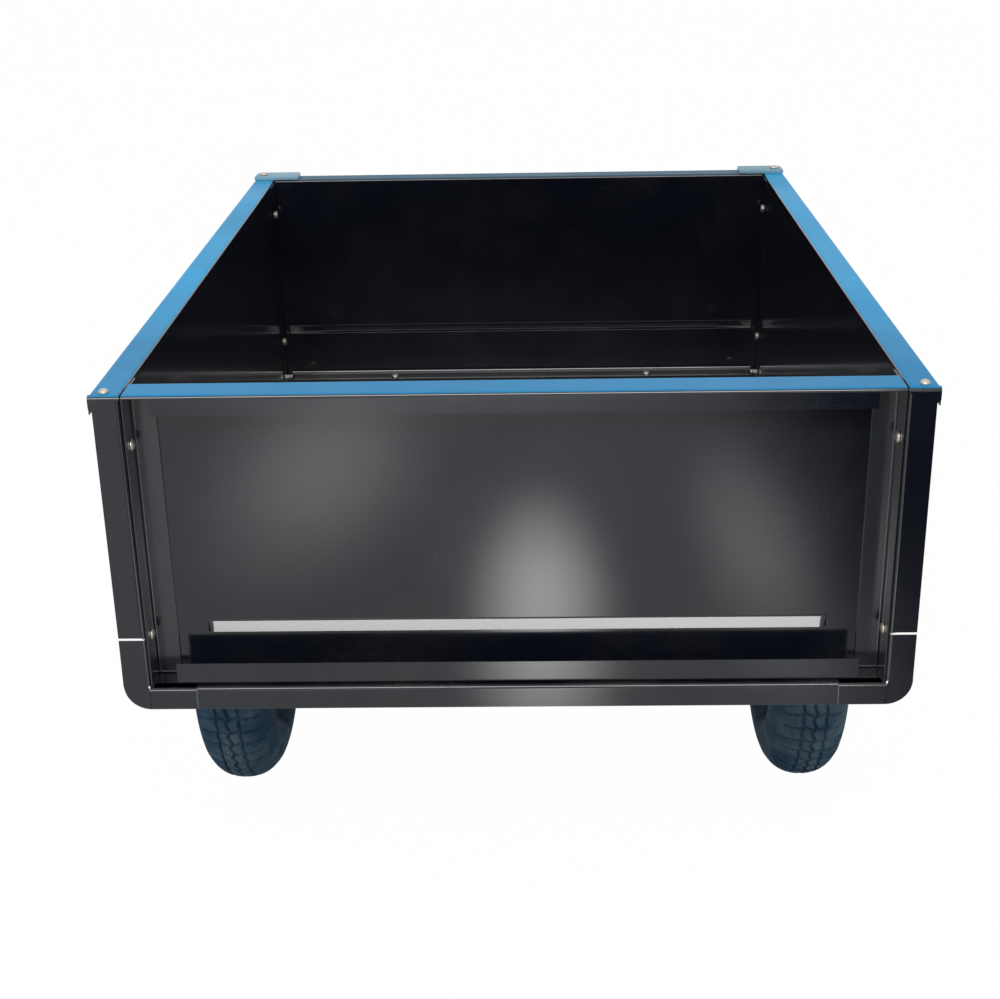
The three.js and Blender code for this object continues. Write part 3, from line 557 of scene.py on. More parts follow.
panel_enamel = enamel("panel_enamel", BLACK, PAINTED_SKY_NEAR, rail_top, coat=1.0, painted_sky_far=PAINTED_SKY_FAR)
gate_enamel = enamel("tailgate_enamel", BLACK, PAINTED_SKY_NEAR, rail_top, roughness=0.16, coat=1.0)
# The front wall's grey-blue top colour is painted sky reflection as well, greyer than the rails'.
front_enamel = enamel("front_wall_enamel", BLACK, (0.03, 0.11, 0.18, 1.0), rail_top, coat=1.0)
frame_enamel = enamel("frame_enamel", BLACK, roughness=0.26)
cap_enamel = enamel("cap_enamel", (0.22, 0.42, 0.54, 1.0), roughness=0.42, coat=0.0, dust=0.1)
zinc = plated("zinc_plate", (0.46, 0.44, 0.38, 1.0), 0.42, (0.5, 0.43, 0.28, 1.0))
bare_bar = plated("drawn_bar", (0.5, 0.51, 0.53, 1.0), 0.3, (0.36, 0.32, 0.27, 1.0), 600.0)
# The tyre colours are dark rubber and a lighter dusty tone, both tinted blue: the blue is painted
# sky light falling on the rubber in shade.
tyre_rubber = rubber("tyre_rubber", (0.022, 0.052, 0.09, 1.0), (0.13, 0.185, 0.215, 1.0), 0.85,
                     sheen=0.0, specular=0.05)
black_rubber = rubber("moulded_rubber", (0.012, 0.012, 0.013, 1.0), (0.03, 0.03, 0.032, 1.0), 0.6,
                      0.3)
wheel_enamel = enamel("wheel_enamel", (0.3, 0.32, 0.35, 1.0), roughness=0.28, dust=0.4)
nylon = moulded_nylon("bush_nylon", (0.68, 0.65, 0.56, 1.0))


# ------------------------------------------------------------------ bed panels
def along_y(s=1.0):
    return lambda a, b, t: (s * a, t, b)


def along_x(a, b, t):
    return t, a, b


def along_z(s=1.0):
    return lambda a, b, t: (s * a, b, t)


def spread(low, high, step):
    return np.linspace(low, high, max(2, int(round((high - low) / step)) + 1))


def post_top(s, inner_root):
    """Upper end flange: its top rolls over into the rail, and an ear closes the rail's end."""
    half = SHEET / 2
    low = rail_top - (SLIT_BELOW - SLIT_HALF)
    ear_low = rail_top - EAR_DEPTH
    climb = rail_top - half - low
    corner = 4 * MM
    rise = corner * (1 - np.cos(np.linspace(0, math.pi / 2, 7)))
    heights = np.concatenate([[ear_low - 0.2 * MM], ear_low + rise, [rail_top - 7 * MM]])
    line = bent_line([(rear_y + half, low), (rear_y + half, rail_top - half),
                      (rear_y + SHOULDER, rail_top - half)], [0, 3.8 * MM, 0], arc_steps=8,
                     extra={0: (heights - low) / climb})
    z = line[0][:, 1]
    up = np.clip((z - ear_low) / corner, 0, 1)
    rounding = np.sqrt(np.clip(1 - (1 - up) ** 2, 0, 1))
    outer = np.where(z < ear_low - 0.1 * MM, post_x, rail_x - corner + corner * rounding)
    inner = np.where(z < rail_top - 6.5 * MM, inner_root, wall_x + 0.3 * MM)
    shares = np.linspace(0, 1, 5)
    return folded(line, shares, lambda a, b, x: (s * x, a, b), SHEET, limits=(inner, outer))


def side_panel(side, s):
    """Wall, rail and floor strip in bent sheet, with the flat end flanges that form the posts."""
    half = SHEET / 2
    bend = BEND + half
    tight = 1.4 * MM + half
    wall = wall_x + half
    top = rail_top - half
    slit_z = rail_top - SLIT_BELOW
    rail = bent_line([(rail_x - half, rail_top - RAIL_LIP), (rail_x - half, top), (wall, top),
                      (wall, top - 9 * MM)], bend)
    strip = bent_line([(wall, top - 8 * MM), (wall, strip_z - half), (seam_x, strip_z - half)],
                      bend)
    rail_stations = spread(rear_y + SHOULDER - 0.1 * MM, bed_front, 60 * MM)
    root = rear_y + half + tight
    wall_stations = spread(root, bed_front - root + rear_y, 60 * MM)
    turn = [(wall, rear_y + 14 * MM), (wall, rear_y + half)]
    short_post = bent_line(turn + [(wall + tight + 1 * MM, rear_y + half)], tight)
    post = bent_line(turn + [(post_x, rear_y + half)], tight)
    foot = bent_line([(rear_y + 14 * MM, strip_z - half), (rear_y + half, strip_z - half),
                      (rear_y + half, end_foot)], bend)
    corner = 27 * MM
    arc = np.linspace(0, -math.pi / 2, 12)
    centre = (post_x - corner, end_foot + corner)
    low_plate = [(wall + tight, end_foot + corner), (post_x, end_foot + corner)]
    low_plate += [(centre[0] + corner * math.cos(t), centre[1] + corner * math.sin(t))
                  for t in arc[1:]]
    low_plate += [(wall - 0.4 * MM, end_foot), (wall - 0.4 * MM, strip_z - half - bend)]
    front_post = bent_line([(wall, bed_front - 14 * MM), (wall, bed_front - half),
                            (post_x, bed_front - half)], bend)
    end_lip = [(rail_x - SHEET, rail_top - RAIL_LIP), (rail_x, rail_top - RAIL_LIP),
               (rail_x, rail_top - 4 * MM), (rail_x - SHEET, rail_top - 4 * MM)]
    parts = [
        folded(rail, rail_stations, along_y(s), SHEET),
        folded(strip, wall_stations, along_y(s), SHEET),
        post_top(s, wall + tight),
        folded(short_post, [slit_z + SLIT_HALF, rail_top - 4.4 * MM], along_z(s), SHEET),
        folded(post, [end_foot + corner, slit_z - SLIT_HALF], along_z(s), SHEET),
        folded(front_post, [strip_z - SHEET, rail_top - 1.6 * SHEET], along_z(s), SHEET),
        slab(low_plate, rear_y, rear_y + SHEET, lambda a, b, y: (s * a, y, b)),
        slab(end_lip, rear_y + SHEET, rear_y + SHOULDER, lambda a, b, y: (s * a, y, b)),
        folded(foot, [s * seam_x, s * (wall + half)], along_x, SHEET),
    ]
    obj = soften(make_mesh(f"side_panel_{side}_sheet", *joined(*parts)), 0.3 * MM)
    return finished(obj, panel_enamel, "bed", "black_paint", f"side_panel_{side}")


def bead_lift(y_of_wall, z_of_bead, half, height, radius):
    """Pressed bead: a ridge with a long flat upper slope and a short lower one, round ended."""
    def lift(a, b, s):
        beyond = np.maximum(np.abs(s) - (half - radius), 0) / radius
        drop = (z_of_bead - b) / radius
        slope = np.where(drop < 0.62, (drop + 1) / 1.62, (1 - drop) / 0.38)
        fade = np.sqrt(np.clip(1 - beyond ** 2, 0, 1))
        ridge = height * np.clip(slope, 0, 1) * fade
        return np.where(np.abs(a - y_of_wall) < 1.0 * MM, ridge, 0.0)
    return lift


def bead_shares(z_low, z_high, z_bead, radius):
    """Shares of a wall's height at which its profile needs points, close about a bead's edges."""
    drop = np.array([-1.15, -1.0, -0.85, -0.5, -0.1, 0.3, 0.5, 0.6, 0.66, 0.75, 0.9, 1.0, 1.15])
    z = z_bead - radius * drop
    coarse = np.linspace(z_low, z_high, 9)[1:-1]
    coarse = coarse[np.abs(coarse - z_bead) > 1.6 * radius]
    return np.sort((np.concatenate([z, coarse]) - z_low) / (z_high - z_low))


def bead_stations(full, half, radius):
    """Stations across a wall, close together at both ends of a bead."""
    end = half - radius + radius * np.sin(np.linspace(0, math.pi / 2, 8))
    side = np.concatenate([spread(0, half - 1.3 * radius, 60 * MM)[1:], end,
                           [half + 1.0 * MM, full - 2 * MM, full]])
    return np.concatenate([-side[::-1], [0.0], side])


BEAD_HALF = 323 * MM
BEAD_RADIUS = 6.5 * MM
FRONT_BEAD_BELOW = 242 * MM               # below the rails' top
GATE_BEAD_BELOW = 268 * MM


def front_wall():
    """Foot on the floor, wall with its pressed bead, top flange and lip, and two end tabs."""
    half = SHEET / 2
    bend = BEND + half
    wall = front_y + half
    foot = front_lo.z + half
    top = rail_top - half
    bead_z = rail_top - FRONT_BEAD_BELOW
    shares = bead_shares(foot, top, bead_z, BEAD_RADIUS)
    corners = [(front_y - 28 * MM, foot), (wall, foot), (wall, top), (bed_front - half, top),
               (bed_front - half, rail_top - 19 * MM)]
    profile = bent_line(corners, [0, 9 * MM, bend, bend, 0], arc_steps=8, extra={1: shares})
    full = front_hi.x
    stations = bead_stations(full - SHEET, BEAD_HALF, BEAD_RADIUS) / (full - SHEET)
    widths = np.full(len(profile[0]), full - SHEET)
    on_foot = profile[0][:, 1] < foot + 9 * MM
    widths[on_foot] = full - 8 * MM
    on_wall = (np.abs(profile[0][:, 0] - wall) < 0.1 * MM) & (profile[0][:, 1] < top - bend)
    widths[on_wall & ~on_foot] = full - 8 * MM
    lift = bead_lift(wall, bead_z, BEAD_HALF, 5.5 * MM, BEAD_RADIUS)
    outward = folded(profile, stations, along_x, SHEET, lambda a, b, s: -lift(a, b, s), widths)
    tabs = []
    for side in (-1, 1):
        line = bent_line([(full - half, front_y - 40 * MM), (full - half, wall),
                          (full - 8.1 * MM, wall)], bend)
        tabs.append(folded(line, [front_lo.z + 1 * MM, rail_top - 4 * MM], along_z(side), SHEET))
    obj = soften(make_mesh("front_wall_sheet", *joined(outward, *tabs)), 0.3 * MM)
    return finished(obj, front_enamel, "bed", "black_paint", "front_panel")


def floor_sheet():
    """Floor skin on the side strips, its rear edge turned down between the two posts."""
    half = SHEET / 2
    bend = BEND + half
    top = floor_top - half
    line = bent_line([(rear_y + half, end_foot), (rear_y + half, top), (floor_hi.y, top)],
                     [0, bend, 0], extra={1: np.linspace(0.05, 0.95, 12)})
    widths = np.where(line[0][:, 0] < rear_y + half + 14 * MM, seam_x - 0.9 * MM, floor_hi.x)
    verts = folded(line, np.linspace(-1, 1, 15), along_x, SHEET, widths=widths)
    obj = soften(make_mesh("floor_sheet", *verts), 0.3 * MM)
    return finished(obj, panel_enamel, "bed", "black_paint", "floor_panel")


def rounded_box(x0, x1, y0, y1, radii, inset, steps=7):
    """A rectangle's outline with its own radius at each corner, drawn in by an inset."""
    x0, x1, y0, y1 = x0 + inset, x1 - inset, y0 + inset, y1 - inset
    points = []
    corners = ((x1, y0, -90), (x1, y1, 0), (x0, y1, 90), (x0, y0, 180))
    for (x, y, start), radius in zip(corners, radii):
        r = max(radius - inset, 0.2 * MM)
        cx = x - r if x == x1 else x + r
        cy = y - r if y == y1 else y + r
        angle = np.radians(start + np.linspace(0, 90, steps))
        points.append(np.stack([cx + r * np.cos(angle), cy + r * np.sin(angle)], -1))
    return np.concatenate(points)


def corner_cap(side, s):
    """Pressed cap over the front corner: a skirt, a rounded shoulder and a gently domed top."""
    x0, x1, y0, y1 = cap_lo.x, cap_hi.x, cap_lo.y, cap_hi.y
    radii = (2 * MM, 12 * MM, 4 * MM, 2 * MM)
    shoulder = 2.6 * MM
    angle = np.linspace(0, math.pi / 2, 6)
    outer = [(0.0, cap_lo.z)]
    outer += [(shoulder * (1 - math.cos(t)), cap_hi.z - 0.5 * MM - shoulder * (1 - math.sin(t)))
              for t in angle]
    outer += [(8 * MM, cap_hi.z - 0.1 * MM), (16 * MM, cap_hi.z)]
    inner = [(1.2 * MM, cap_lo.z), (1.2 * MM, cap_hi.z - 4 * MM), (4 * MM, cap_hi.z - 2 * MM),
             (16 * MM, cap_hi.z - 1.6 * MM)]
    rows = [rounded_box(x0, x1, y0, y1, radii, inset) for inset, _ in inner[::-1] + outer]
    heights = [z for _, z in inner[::-1] + outer]
    grid = np.stack([np.concatenate([row, np.full((len(row), 1), z)], 1)
                     for row, z in zip(rows, heights)])
    grid[..., 0] *= s
    count, cols = grid.shape[:2]
    faces = grid_faces(count, cols, wrap_cols=True)
    faces += [list(range(cols)), list(range((count - 1) * cols, count * cols))]
    obj = flat_shade_sharp(make_mesh(f"corner_cap_{side}_pressing", grid.reshape(-1, 3), faces), 50)
    return finished(obj, cap_enamel, "bed", "cap_paint", f"corner_cap_{side}")


for side_name, sign in SIDES:
    side_panel(side_name, sign)
    corner_cap(side_name, sign)
front_wall()
floor_sheet()


# ------------------------------------------------------------------ tailgate, guides and stops
def tailgate_sheet():
    """Up-turned trough, panel with its pressed bead, top flange and its down-turned lip."""
    half = SHEET / 2
    bend = BEND + half
    panel = gate_y + half
    foot = gate_lo.z + half
    top = rail_top - half
    trough = gate_y - 34 * MM + half
    lip = gate_lo.y + half
    bead_z = rail_top - GATE_BEAD_BELOW
    shares = bead_shares(foot, top, bead_z, BEAD_RADIUS)
    corners = [(trough, foot + 24 * MM), (trough, foot), (panel, foot), (panel, top), (lip, top),
               (lip, rail_top - 21 * MM)]
    profile = bent_line(corners, [0, bend, bend, bend, 3.6 * MM, 0], arc_steps=8,
                        extra={2: shares})
    points = profile[0]
    full = gate_hi.x
    stations = bead_stations(full, BEAD_HALF, BEAD_RADIUS) / full
    widths = np.full(len(points), full)
    widths[points[:, 0] < panel - 0.02 * bend] = guide_lo.x - 2 * MM
    upper = points[:, 1] > top - bend
    widths[upper] = np.where(points[upper, 0] < panel - 0.3 * bend, wall_x - 2 * MM, full)
    lift = bead_lift(panel, bead_z, BEAD_HALF, 6.5 * MM, BEAD_RADIUS)
    verts = folded(profile, stations, along_x, SHEET, lift, widths)
    obj = soften(make_mesh("tailgate_sheet", *verts), 0.3 * MM)
    return finished(obj, gate_enamel, "tailgate", "black_paint", "tailgate_panel")


def angle_piece(name, corners, s, low, high, replaced):
    line = bent_line(corners, 2.0 * MM + GUIDE_SHEET / 2)
    verts = folded(line, [low, high], along_z(s), GUIDE_SHEET)
    obj = soften(make_mesh(name, *verts), 0.3 * MM)
    return finished(obj, frame_enamel, "bed", "black_paint", replaced)


tailgate_sheet()
for side_name, sign in SIDES:
    half_sheet = GUIDE_SHEET / 2
    leg = guide_hi.x - half_sheet
    face = guide_hi.y - half_sheet
    angle_piece(f"guide_{side_name}_angle",
                [(leg, guide_lo.y), (leg, face), (guide_lo.x, face)],
                sign, guide_lo.z, guide_hi.z, f"tailgate_guide_{side_name}")
    face = stop_lo.y + half_sheet
    angle_piece(f"stop_{side_name}_angle",
                [(stop_lo.x, face), (leg, face), (leg, stop_hi.y)],
                sign, stop_lo.z, stop_hi.z, f"tailgate_stop_{side_name}")


# ------------------------------------------------------------------ fasteners
def dome_profile(radius, height, grip, shank, nut, nut_height):
    """Mushroom head, shank and flanged nut as one turned line, from the head's crown."""
    crown = np.linspace(0, math.pi / 2, 9)
    line = [(radius * math.sin(t), -height * math.cos(t) - 0.5 * MM) for t in crown]
    line += [(radius, -0.2 * MM), (radius - 0.4 * MM, 0.0), (shank, 0.0), (shank, grip)]
    flange = nut * 1.12
    line += [(flange, grip), (flange, grip + 1.2 * MM), (nut * 0.9, grip + 2 * MM),
             (nut * 0.9, grip + nut_height), (shank, grip + nut_height + 0.3 * MM),
             (shank, grip + nut_height + 2.6 * MM), (shank - 0.8 * MM, grip + nut_height + 3 * MM),
             (0.0, grip + nut_height + 3 * MM)]
    return line


def bolt(name, head, direction, grip, body, replaced=(), radius=8.5 * MM, height=4 * MM,
         nut=6.6 * MM, nut_height=6 * MM):
    """A domed bolt with its head's seat at a point and its shank along a direction."""
    axis = Vector(direction).normalized()
    turn = axis.to_track_quat("Z", "Y").to_matrix()
    columns = [np.array(turn.col[k]) for k in range(3)]
    base = np.array(head, float)

    def place(a, b, h):
        spot = (base + a[..., None] * columns[0] + b[..., None] * columns[1]
                + h[..., None] * columns[2])
        return spot[..., 0], spot[..., 1], spot[..., 2]

    verts, faces = turned(dome_profile(radius, height, grip, 4 * MM, nut, nut_height), place, 24)
    obj = flat_shade_sharp(make_mesh(name, verts, faces), 40)
    return finished(obj, zinc, body, "zinc", *replaced)


RAIL_BOLT_X = 398 * MM                    # from the middle of the bed
FOOT_BOLT_X = 204 * MM
STRIP_BOLT_X = 348 * MM

for side_name, sign in SIDES:
    for level in ("upper", "lower"):
        for kind in ("guide", "front"):
            node = f"{kind}_bolt_{side_name}_{level}"
            lo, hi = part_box(node)
            centre = (lo + hi) / 2
            inner = lo.x if sign > 0 else hi.x
            seat = inner + sign * 4 * MM
            grip = abs((hi.x if sign > 0 else lo.x) - seat) - 9 * MM
            bolt(node + "_dome", (seat, centre.y, centre.z), (sign, 0, 0), grip, "bed", (node,),
                 radius=6.0 * MM, height=3.0 * MM)
    node = f"cap_bolt_{side_name}"
    lo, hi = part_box(node)
    seat_z = hi.z - 3.05 * MM
    bolt(node + "_dome", ((lo.x + hi.x) / 2, (lo.y + hi.y) / 2, seat_z), (0, 0, -1),
         seat_z - lo.z - 9 * MM, "bed", (node,), radius=6.5 * MM, height=3 * MM, nut=5.8 * MM)
    bolt(f"rail_bolt_{side_name}_dome", (sign * RAIL_BOLT_X, rear_y + 12 * MM, rail_top + 0.1 * MM),
         (0, 0, -1), SHEET + 0.2 * MM, "bed", radius=5.2 * MM, height=3.8 * MM, nut=5.6 * MM,
         nut_height=4 * MM)
    bolt(f"foot_bolt_{side_name}_dome",
         (sign * FOOT_BOLT_X, front_y - 14 * MM, front_lo.z + SHEET + 0.1 * MM), (0, 0, -1),
         2 * SHEET + 1 * MM, "bed", radius=6.5 * MM, height=3.4 * MM, nut=5.8 * MM)
    for row, y in enumerate((front_y - 60 * MM, axle_y + 150 * MM, axle_y - 190 * MM,
                             rear_y + 110 * MM)):
        bolt(f"strip_bolt_{side_name}_{row}_dome",
             (sign * STRIP_BOLT_X, y, floor_top + 0.1 * MM), (0, 0, -1),
             2 * SHEET + 0.8 * MM, "bed",
             radius=6.5 * MM, height=2.6 * MM, nut=5.4 * MM, nut_height=3.5 * MM)


# ------------------------------------------------------------------ wheels
TREAD_BLOCKS = 54                         # round the tyre
TYRE_STEPS = 594                          # eleven to a block


def tread(angle, across):
    """How deep the tread is cut, in metres, at an angle round the tyre and a place across it.

    A zigzag groove runs round the middle, another pair bounds the two block rows, and slanted
    slots cut the rows and the shoulders into blocks.
    """
    pitch = 2 * math.pi / TREAD_BLOCKS
    phase = angle / pitch
    zig = 2 * np.abs((phase % 1.0) - 0.5) - 0.5
    depth = np.zeros(np.broadcast(angle, across).shape)

    def groove(distance, width, cut, edge=0.9 * MM):
        return cut * np.clip((width / 2 - np.abs(distance)) / edge + 0.5, 0, 1)

    depth = np.maximum(depth, groove(across - zig * 5 * MM, 3.6 * MM, 5 * MM))
    for s in (-1, 1):
        rail_line = s * (14.5 * MM + zig * s * 2.4 * MM)
        depth = np.maximum(depth, groove(across - rail_line, 2.8 * MM, 4.2 * MM))
        slot = ((phase + 0.25 + s * across / (46 * MM)) % 1.0) - 0.5
        in_row = (np.abs(across) > 3 * MM) & (np.abs(across) < 15 * MM) & (across * s > 0)
        depth = np.maximum(depth, np.where(in_row, groove(slot * 22 * MM, 2.6 * MM, 3.4 * MM), 0))
        slot = ((phase + 0.6 - s * across / (70 * MM)) % 1.0) - 0.5
        in_shoulder = (np.abs(across) > 15 * MM) & (across * s > 0)
        fade = np.clip((44 * MM - np.abs(across)) / (8 * MM), 0, 1)
        cut = groove(slot * 22 * MM, 3.0 * MM, 3.6 * MM) * fade
        depth = np.maximum(depth, np.where(in_shoulder, cut, 0))
        sipe = ((phase * 2 + 0.2) % 1.0) - 0.5
        on_edge = (np.abs(across) > 24 * MM) & (across * s > 0)
        cut = groove(sipe * 11 * MM, 1.3 * MM, 1.4 * MM) * fade
        depth = np.maximum(depth, np.where(on_edge, cut, 0))
    return depth


SECTION_DEPTH = 62 * MM                   # crown down to the widest part of the tyre
SECTION_SHAPE = 2.3                       # 2 is an ellipse, more is squarer


def tyre(side, s):
    """Rounded carcass with a cut tread, sidewall rings and a bead; the inside is closed."""
    outer = (tyre_hi.z - tyre_lo.z) / 2
    half = (tyre_hi.x - tyre_lo.x) / 2
    seat = 104.6 * MM
    bead_x = 30 * MM
    crown = 36 * MM
    across = np.linspace(-crown, crown, 73)
    crown_r = outer - SECTION_DEPTH * (
        1 - (1 - np.abs(across / half) ** SECTION_SHAPE) ** (1 / SECTION_SHAPE))
    shoulder_r = crown_r[-1]
    around = np.linspace(0, 1, 25)[1:] ** 0.8
    widest = outer - SECTION_DEPTH
    start = 1 - ((outer - shoulder_r) / SECTION_DEPTH)
    height = start * (1 - around)
    shoulder = np.stack([half * (1 - height ** SECTION_SHAPE) ** (1 / SECTION_SHAPE),
                         widest + SECTION_DEPTH * height], -1)
    fall = np.linspace(0, 1, 13)[1:]
    lower = np.stack([half + (bead_x + 1 * MM - half) * fall ** 1.7,
                      widest + (111 * MM - widest) * fall], -1)
    wall = np.concatenate([shoulder, lower])
    ring_lift = 0.5 * MM * np.exp(-((wall[:, 1] - 138 * MM) / (1.4 * MM)) ** 2)
    ring_lift += 0.5 * MM * np.exp(-((wall[:, 1] - 172 * MM) / (1.2 * MM)) ** 2)
    wall[:, 0] += np.minimum(ring_lift, half - wall[:, 0])
    bead = np.array([(bead_x, seat), (bead_x - 10 * MM, seat), (bead_x - 8 * MM, 118 * MM),
                     (half - 8 * MM, 144 * MM), (28 * MM, outer - 26 * MM), (0.0, outer - 12 * MM)])
    right = np.concatenate([wall, bead[:-1]])
    left = right[::-1] * (-1, 1)
    inside = bead[-1:]
    line = np.concatenate([np.stack([across, crown_r], -1), right, inside, left])
    angle = np.linspace(0, 2 * math.pi, TYRE_STEPS, endpoint=False)
    x, a = np.meshgrid(line[:, 0], angle, indexing="ij")
    r = np.broadcast_to(line[:, 1][:, None], x.shape).copy()
    crown_rows = slice(0, len(across))
    r[crown_rows] -= tread(a[crown_rows], x[crown_rows])
    verts = np.stack([s * wheel_x + x, axle_y + r * np.cos(a), axle_z + r * np.sin(a)], -1)
    faces = grid_faces(len(line), TYRE_STEPS, wrap_rows=True, wrap_cols=True)
    obj = flat_shade_sharp(make_mesh(f"tyre_{side}_tread", verts.reshape(-1, 3), faces), 40)
    return finished(obj, tyre_rubber, f"wheel_{side}", "tyre_rubber", f"tyre_{side}")


def about_axle(s):
    return lambda a, b, h: (s * (wheel_x + h), axle_y + a, axle_z + b)


def wheel_rim(side, s):
    """Pressed disc wheel: rolled flanges, bead seats, drop well and a dished centre disc."""
    front = bent_line([(99 * MM, 33 * MM), (98.6 * MM, 19 * MM), (85.5 * MM, 12 * MM),
                       (85.5 * MM, 4 * MM), (62 * MM, 2.4 * MM), (52 * MM, 6 * MM),
                       (36 * MM, 6 * MM), (29 * MM, 2.4 * MM), (17.4 * MM, 2.4 * MM)],
                      [0, 2 * MM, 2 * MM, 3 * MM, 6 * MM, 5 * MM, 5 * MM, 5 * MM, 0],
                      ease=0.0)[0]
    back = bent_line([(17.4 * MM, -0.4 * MM), (29.6 * MM, -0.4 * MM), (36.6 * MM, 3.2 * MM),
                      (51.4 * MM, 3.2 * MM), (61.6 * MM, -0.4 * MM), (84 * MM, -0.6 * MM),
                      (85.5 * MM, -12 * MM), (98.6 * MM, -19 * MM), (99 * MM, -33 * MM)],
                     [0, 4 * MM, 4 * MM, 4 * MM, 4 * MM, 3 * MM, 2 * MM, 2 * MM, 0], ease=0.0)[0]
    rolled = bent_line([(99 * MM, -33 * MM), (111 * MM, -33 * MM), (110 * MM, -30.5 * MM),
                        (102 * MM, -30.5 * MM), (101.4 * MM, -20 * MM), (88 * MM, -13 * MM),
                        (88 * MM, 13 * MM), (101.4 * MM, 20 * MM), (102 * MM, 30.5 * MM),
                        (110 * MM, 30.5 * MM), (111 * MM, 33 * MM), (99 * MM, 33 * MM)],
                       [0, 1 * MM, 0.8 * MM, 2 * MM, 3 * MM, 4 * MM, 4 * MM, 3 * MM, 2 * MM,
                        0.8 * MM, 1 * MM, 0], ease=0.0, arc_steps=4)[0]
    line = np.concatenate([front, back, rolled[1:-1]])
    verts, faces = turned(np.concatenate([line, line[:1]]), about_axle(s), 96)
    obj = flat_shade_sharp(make_mesh(f"rim_{side}_pressing", verts, faces), 35)
    return finished(obj, wheel_enamel, f"wheel_{side}", "wheel_paint", f"rim_{side}")


def wheel_hub(side, s):
    """Hub tube with chamfered ends, two bearing collars and a raised band in the middle."""
    half = (hub_hi.x - hub_lo.x) / 2
    bore = 8.15 * MM
    line = rounded([(bore, -half), (15.5 * MM, -half), (17 * MM, -half + 2 * MM),
                    (17 * MM, -half + 12 * MM), (15.4 * MM, -half + 14 * MM),
                    (15.4 * MM, -6 * MM), (16.9 * MM, -5 * MM), (16.9 * MM, 9 * MM),
                    (15.4 * MM, 11 * MM), (15.4 * MM, half - 14 * MM), (17 * MM, half - 12 * MM),
                    (17 * MM, half - 2 * MM), (15.5 * MM, half), (bore, half)],
                   [0] + [0.6 * MM] * 12 + [0])
    tube = turned(np.concatenate([line, line[:1]]), about_axle(s), 48)
    obj = flat_shade_sharp(make_mesh(f"hub_{side}_tube", *tube), 35)
    return finished(obj, wheel_enamel, f"wheel_{side}", "wheel_paint", f"hub_{side}")


def valve_stem(side, s):
    """Rubber stem with its bulb against the rim, and a cap."""
    lo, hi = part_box(f"valve_{side}")
    z = (lo.z + hi.z) / 2
    low = abs(lo.x if s > 0 else hi.x) - wheel_x
    high = abs(hi.x if s > 0 else lo.x) - wheel_x
    line = rounded([(0.0, low), (3.4 * MM, low), (3.9 * MM, low + 3 * MM), (3.6 * MM, 8 * MM),
                    (2.6 * MM, 11 * MM), (2.5 * MM, high - 9 * MM), (3.2 * MM, high - 8.6 * MM),
                    (3.2 * MM, high - 1 * MM), (2.4 * MM, high), (0.0, high)],
                   [0] + [0.5 * MM] * 8 + [0])
    verts, faces = turned(line, lambda a, b, h: (s * (wheel_x + h), axle_y + a, z + b), 24)
    obj = flat_shade_sharp(make_mesh(f"valve_{side}_stem", verts, faces), 40)
    return finished(obj, black_rubber, f"wheel_{side}", "moulded_rubber", f"valve_{side}")


for side_name, sign in SIDES:
    tyre(side_name, sign)
    wheel_rim(side_name, sign)
    wheel_hub(side_name, sign)
    valve_stem(side_name, sign)


# ------------------------------------------------------------------ running gear, drawbar, hitch
def eased(node, width, material, body, slot):
    return finished(eased_copy(node, width * MM), material, body, slot, node)


for side_name, sign in SIDES:
    eased(f"axle_stand_{side_name}", 0.6, frame_enamel, "bed", "black_paint")
    eased(f"tongue_bracket_{side_name}", 0.7, frame_enamel, "chassis", "black_paint")
    eased(f"axle_spacer_{side_name}", 0.4, zinc, "chassis", "zinc")
    eased(f"axle_washer_{side_name}", 0.3, zinc, "chassis", "zinc")
    eased(f"axle_bush_{side_name}", 0.4, nylon, "bed", "nylon")
for node in ("tongue_tube", "hitch_plate_upper", "hitch_plate_lower", "latch_stand"):
    eased(node, 2.2 if node == "tongue_tube" else 0.7, frame_enamel, "chassis", "black_paint")
for node in ("bracket_bolt_front", "bracket_bolt_rear", "hitch_bolt_front", "hitch_bolt_rear",
             "stand_bolt", "latch_pivot_bolt"):
    eased(node, 0.5, zinc, "chassis", "zinc")
eased("axle", 0.6, bare_bar, "chassis", "bare_steel")
eased("floor_channel", 0.6, frame_enamel, "bed", "black_paint")
eased("stand_pad", 1.2, black_rubber, "chassis", "moulded_rubber")
eased("latch_strike", 0.6, zinc, "bed", "zinc")
eased("latch_lever", 0.8, zinc, "latch", "zinc")
eased("latch_grip", 1.0, black_rubber, "latch", "moulded_rubber")
eased("hitch_pin", 0.5, zinc, "hitch_pin", "zinc")
for node, material in (("hairpin_clip", zinc), ("latch_spring", bare_bar),
                       ("cotter_pin_left", zinc), ("cotter_pin_right", zinc)):
    nodes[node].data.materials.clear()
    nodes[node].data.materials.append(material)


# ------------------------------------------------------------------ stage, light and camera
def stage_material(name, color, whiteness):
    """Pale matt floor; the camera and mirror rays see it almost wholly as flat studio white."""
    material, tree, shader, _ = new_material(name)
    shader.inputs["Base Color"].default_value = color
    shader.inputs["Roughness"].default_value = 0.9
    shader.inputs["Specular IOR Level"].default_value = 0.0
    glow = tree.nodes.new("ShaderNodeEmission")
    glow.inputs["Color"].default_value = (1.0, 1.0, 1.0, 1.0)
    ray = tree.nodes.new("ShaderNodeLightPath")
    seen = math_node(tree, "MAXIMUM", ray.outputs["Is Camera Ray"], ray.outputs["Is Glossy Ray"])
    mix = tree.nodes.new("ShaderNodeMixShader")
    feed(tree, mix.inputs[0], product(tree, seen, whiteness))
    tree.links.new(shader.outputs[0], mix.inputs[1])
    tree.links.new(glow.outputs[0], mix.inputs[2])
    tree.links.new(mix.outputs[0], tree.nodes["Material Output"].inputs["Surface"])
    return material


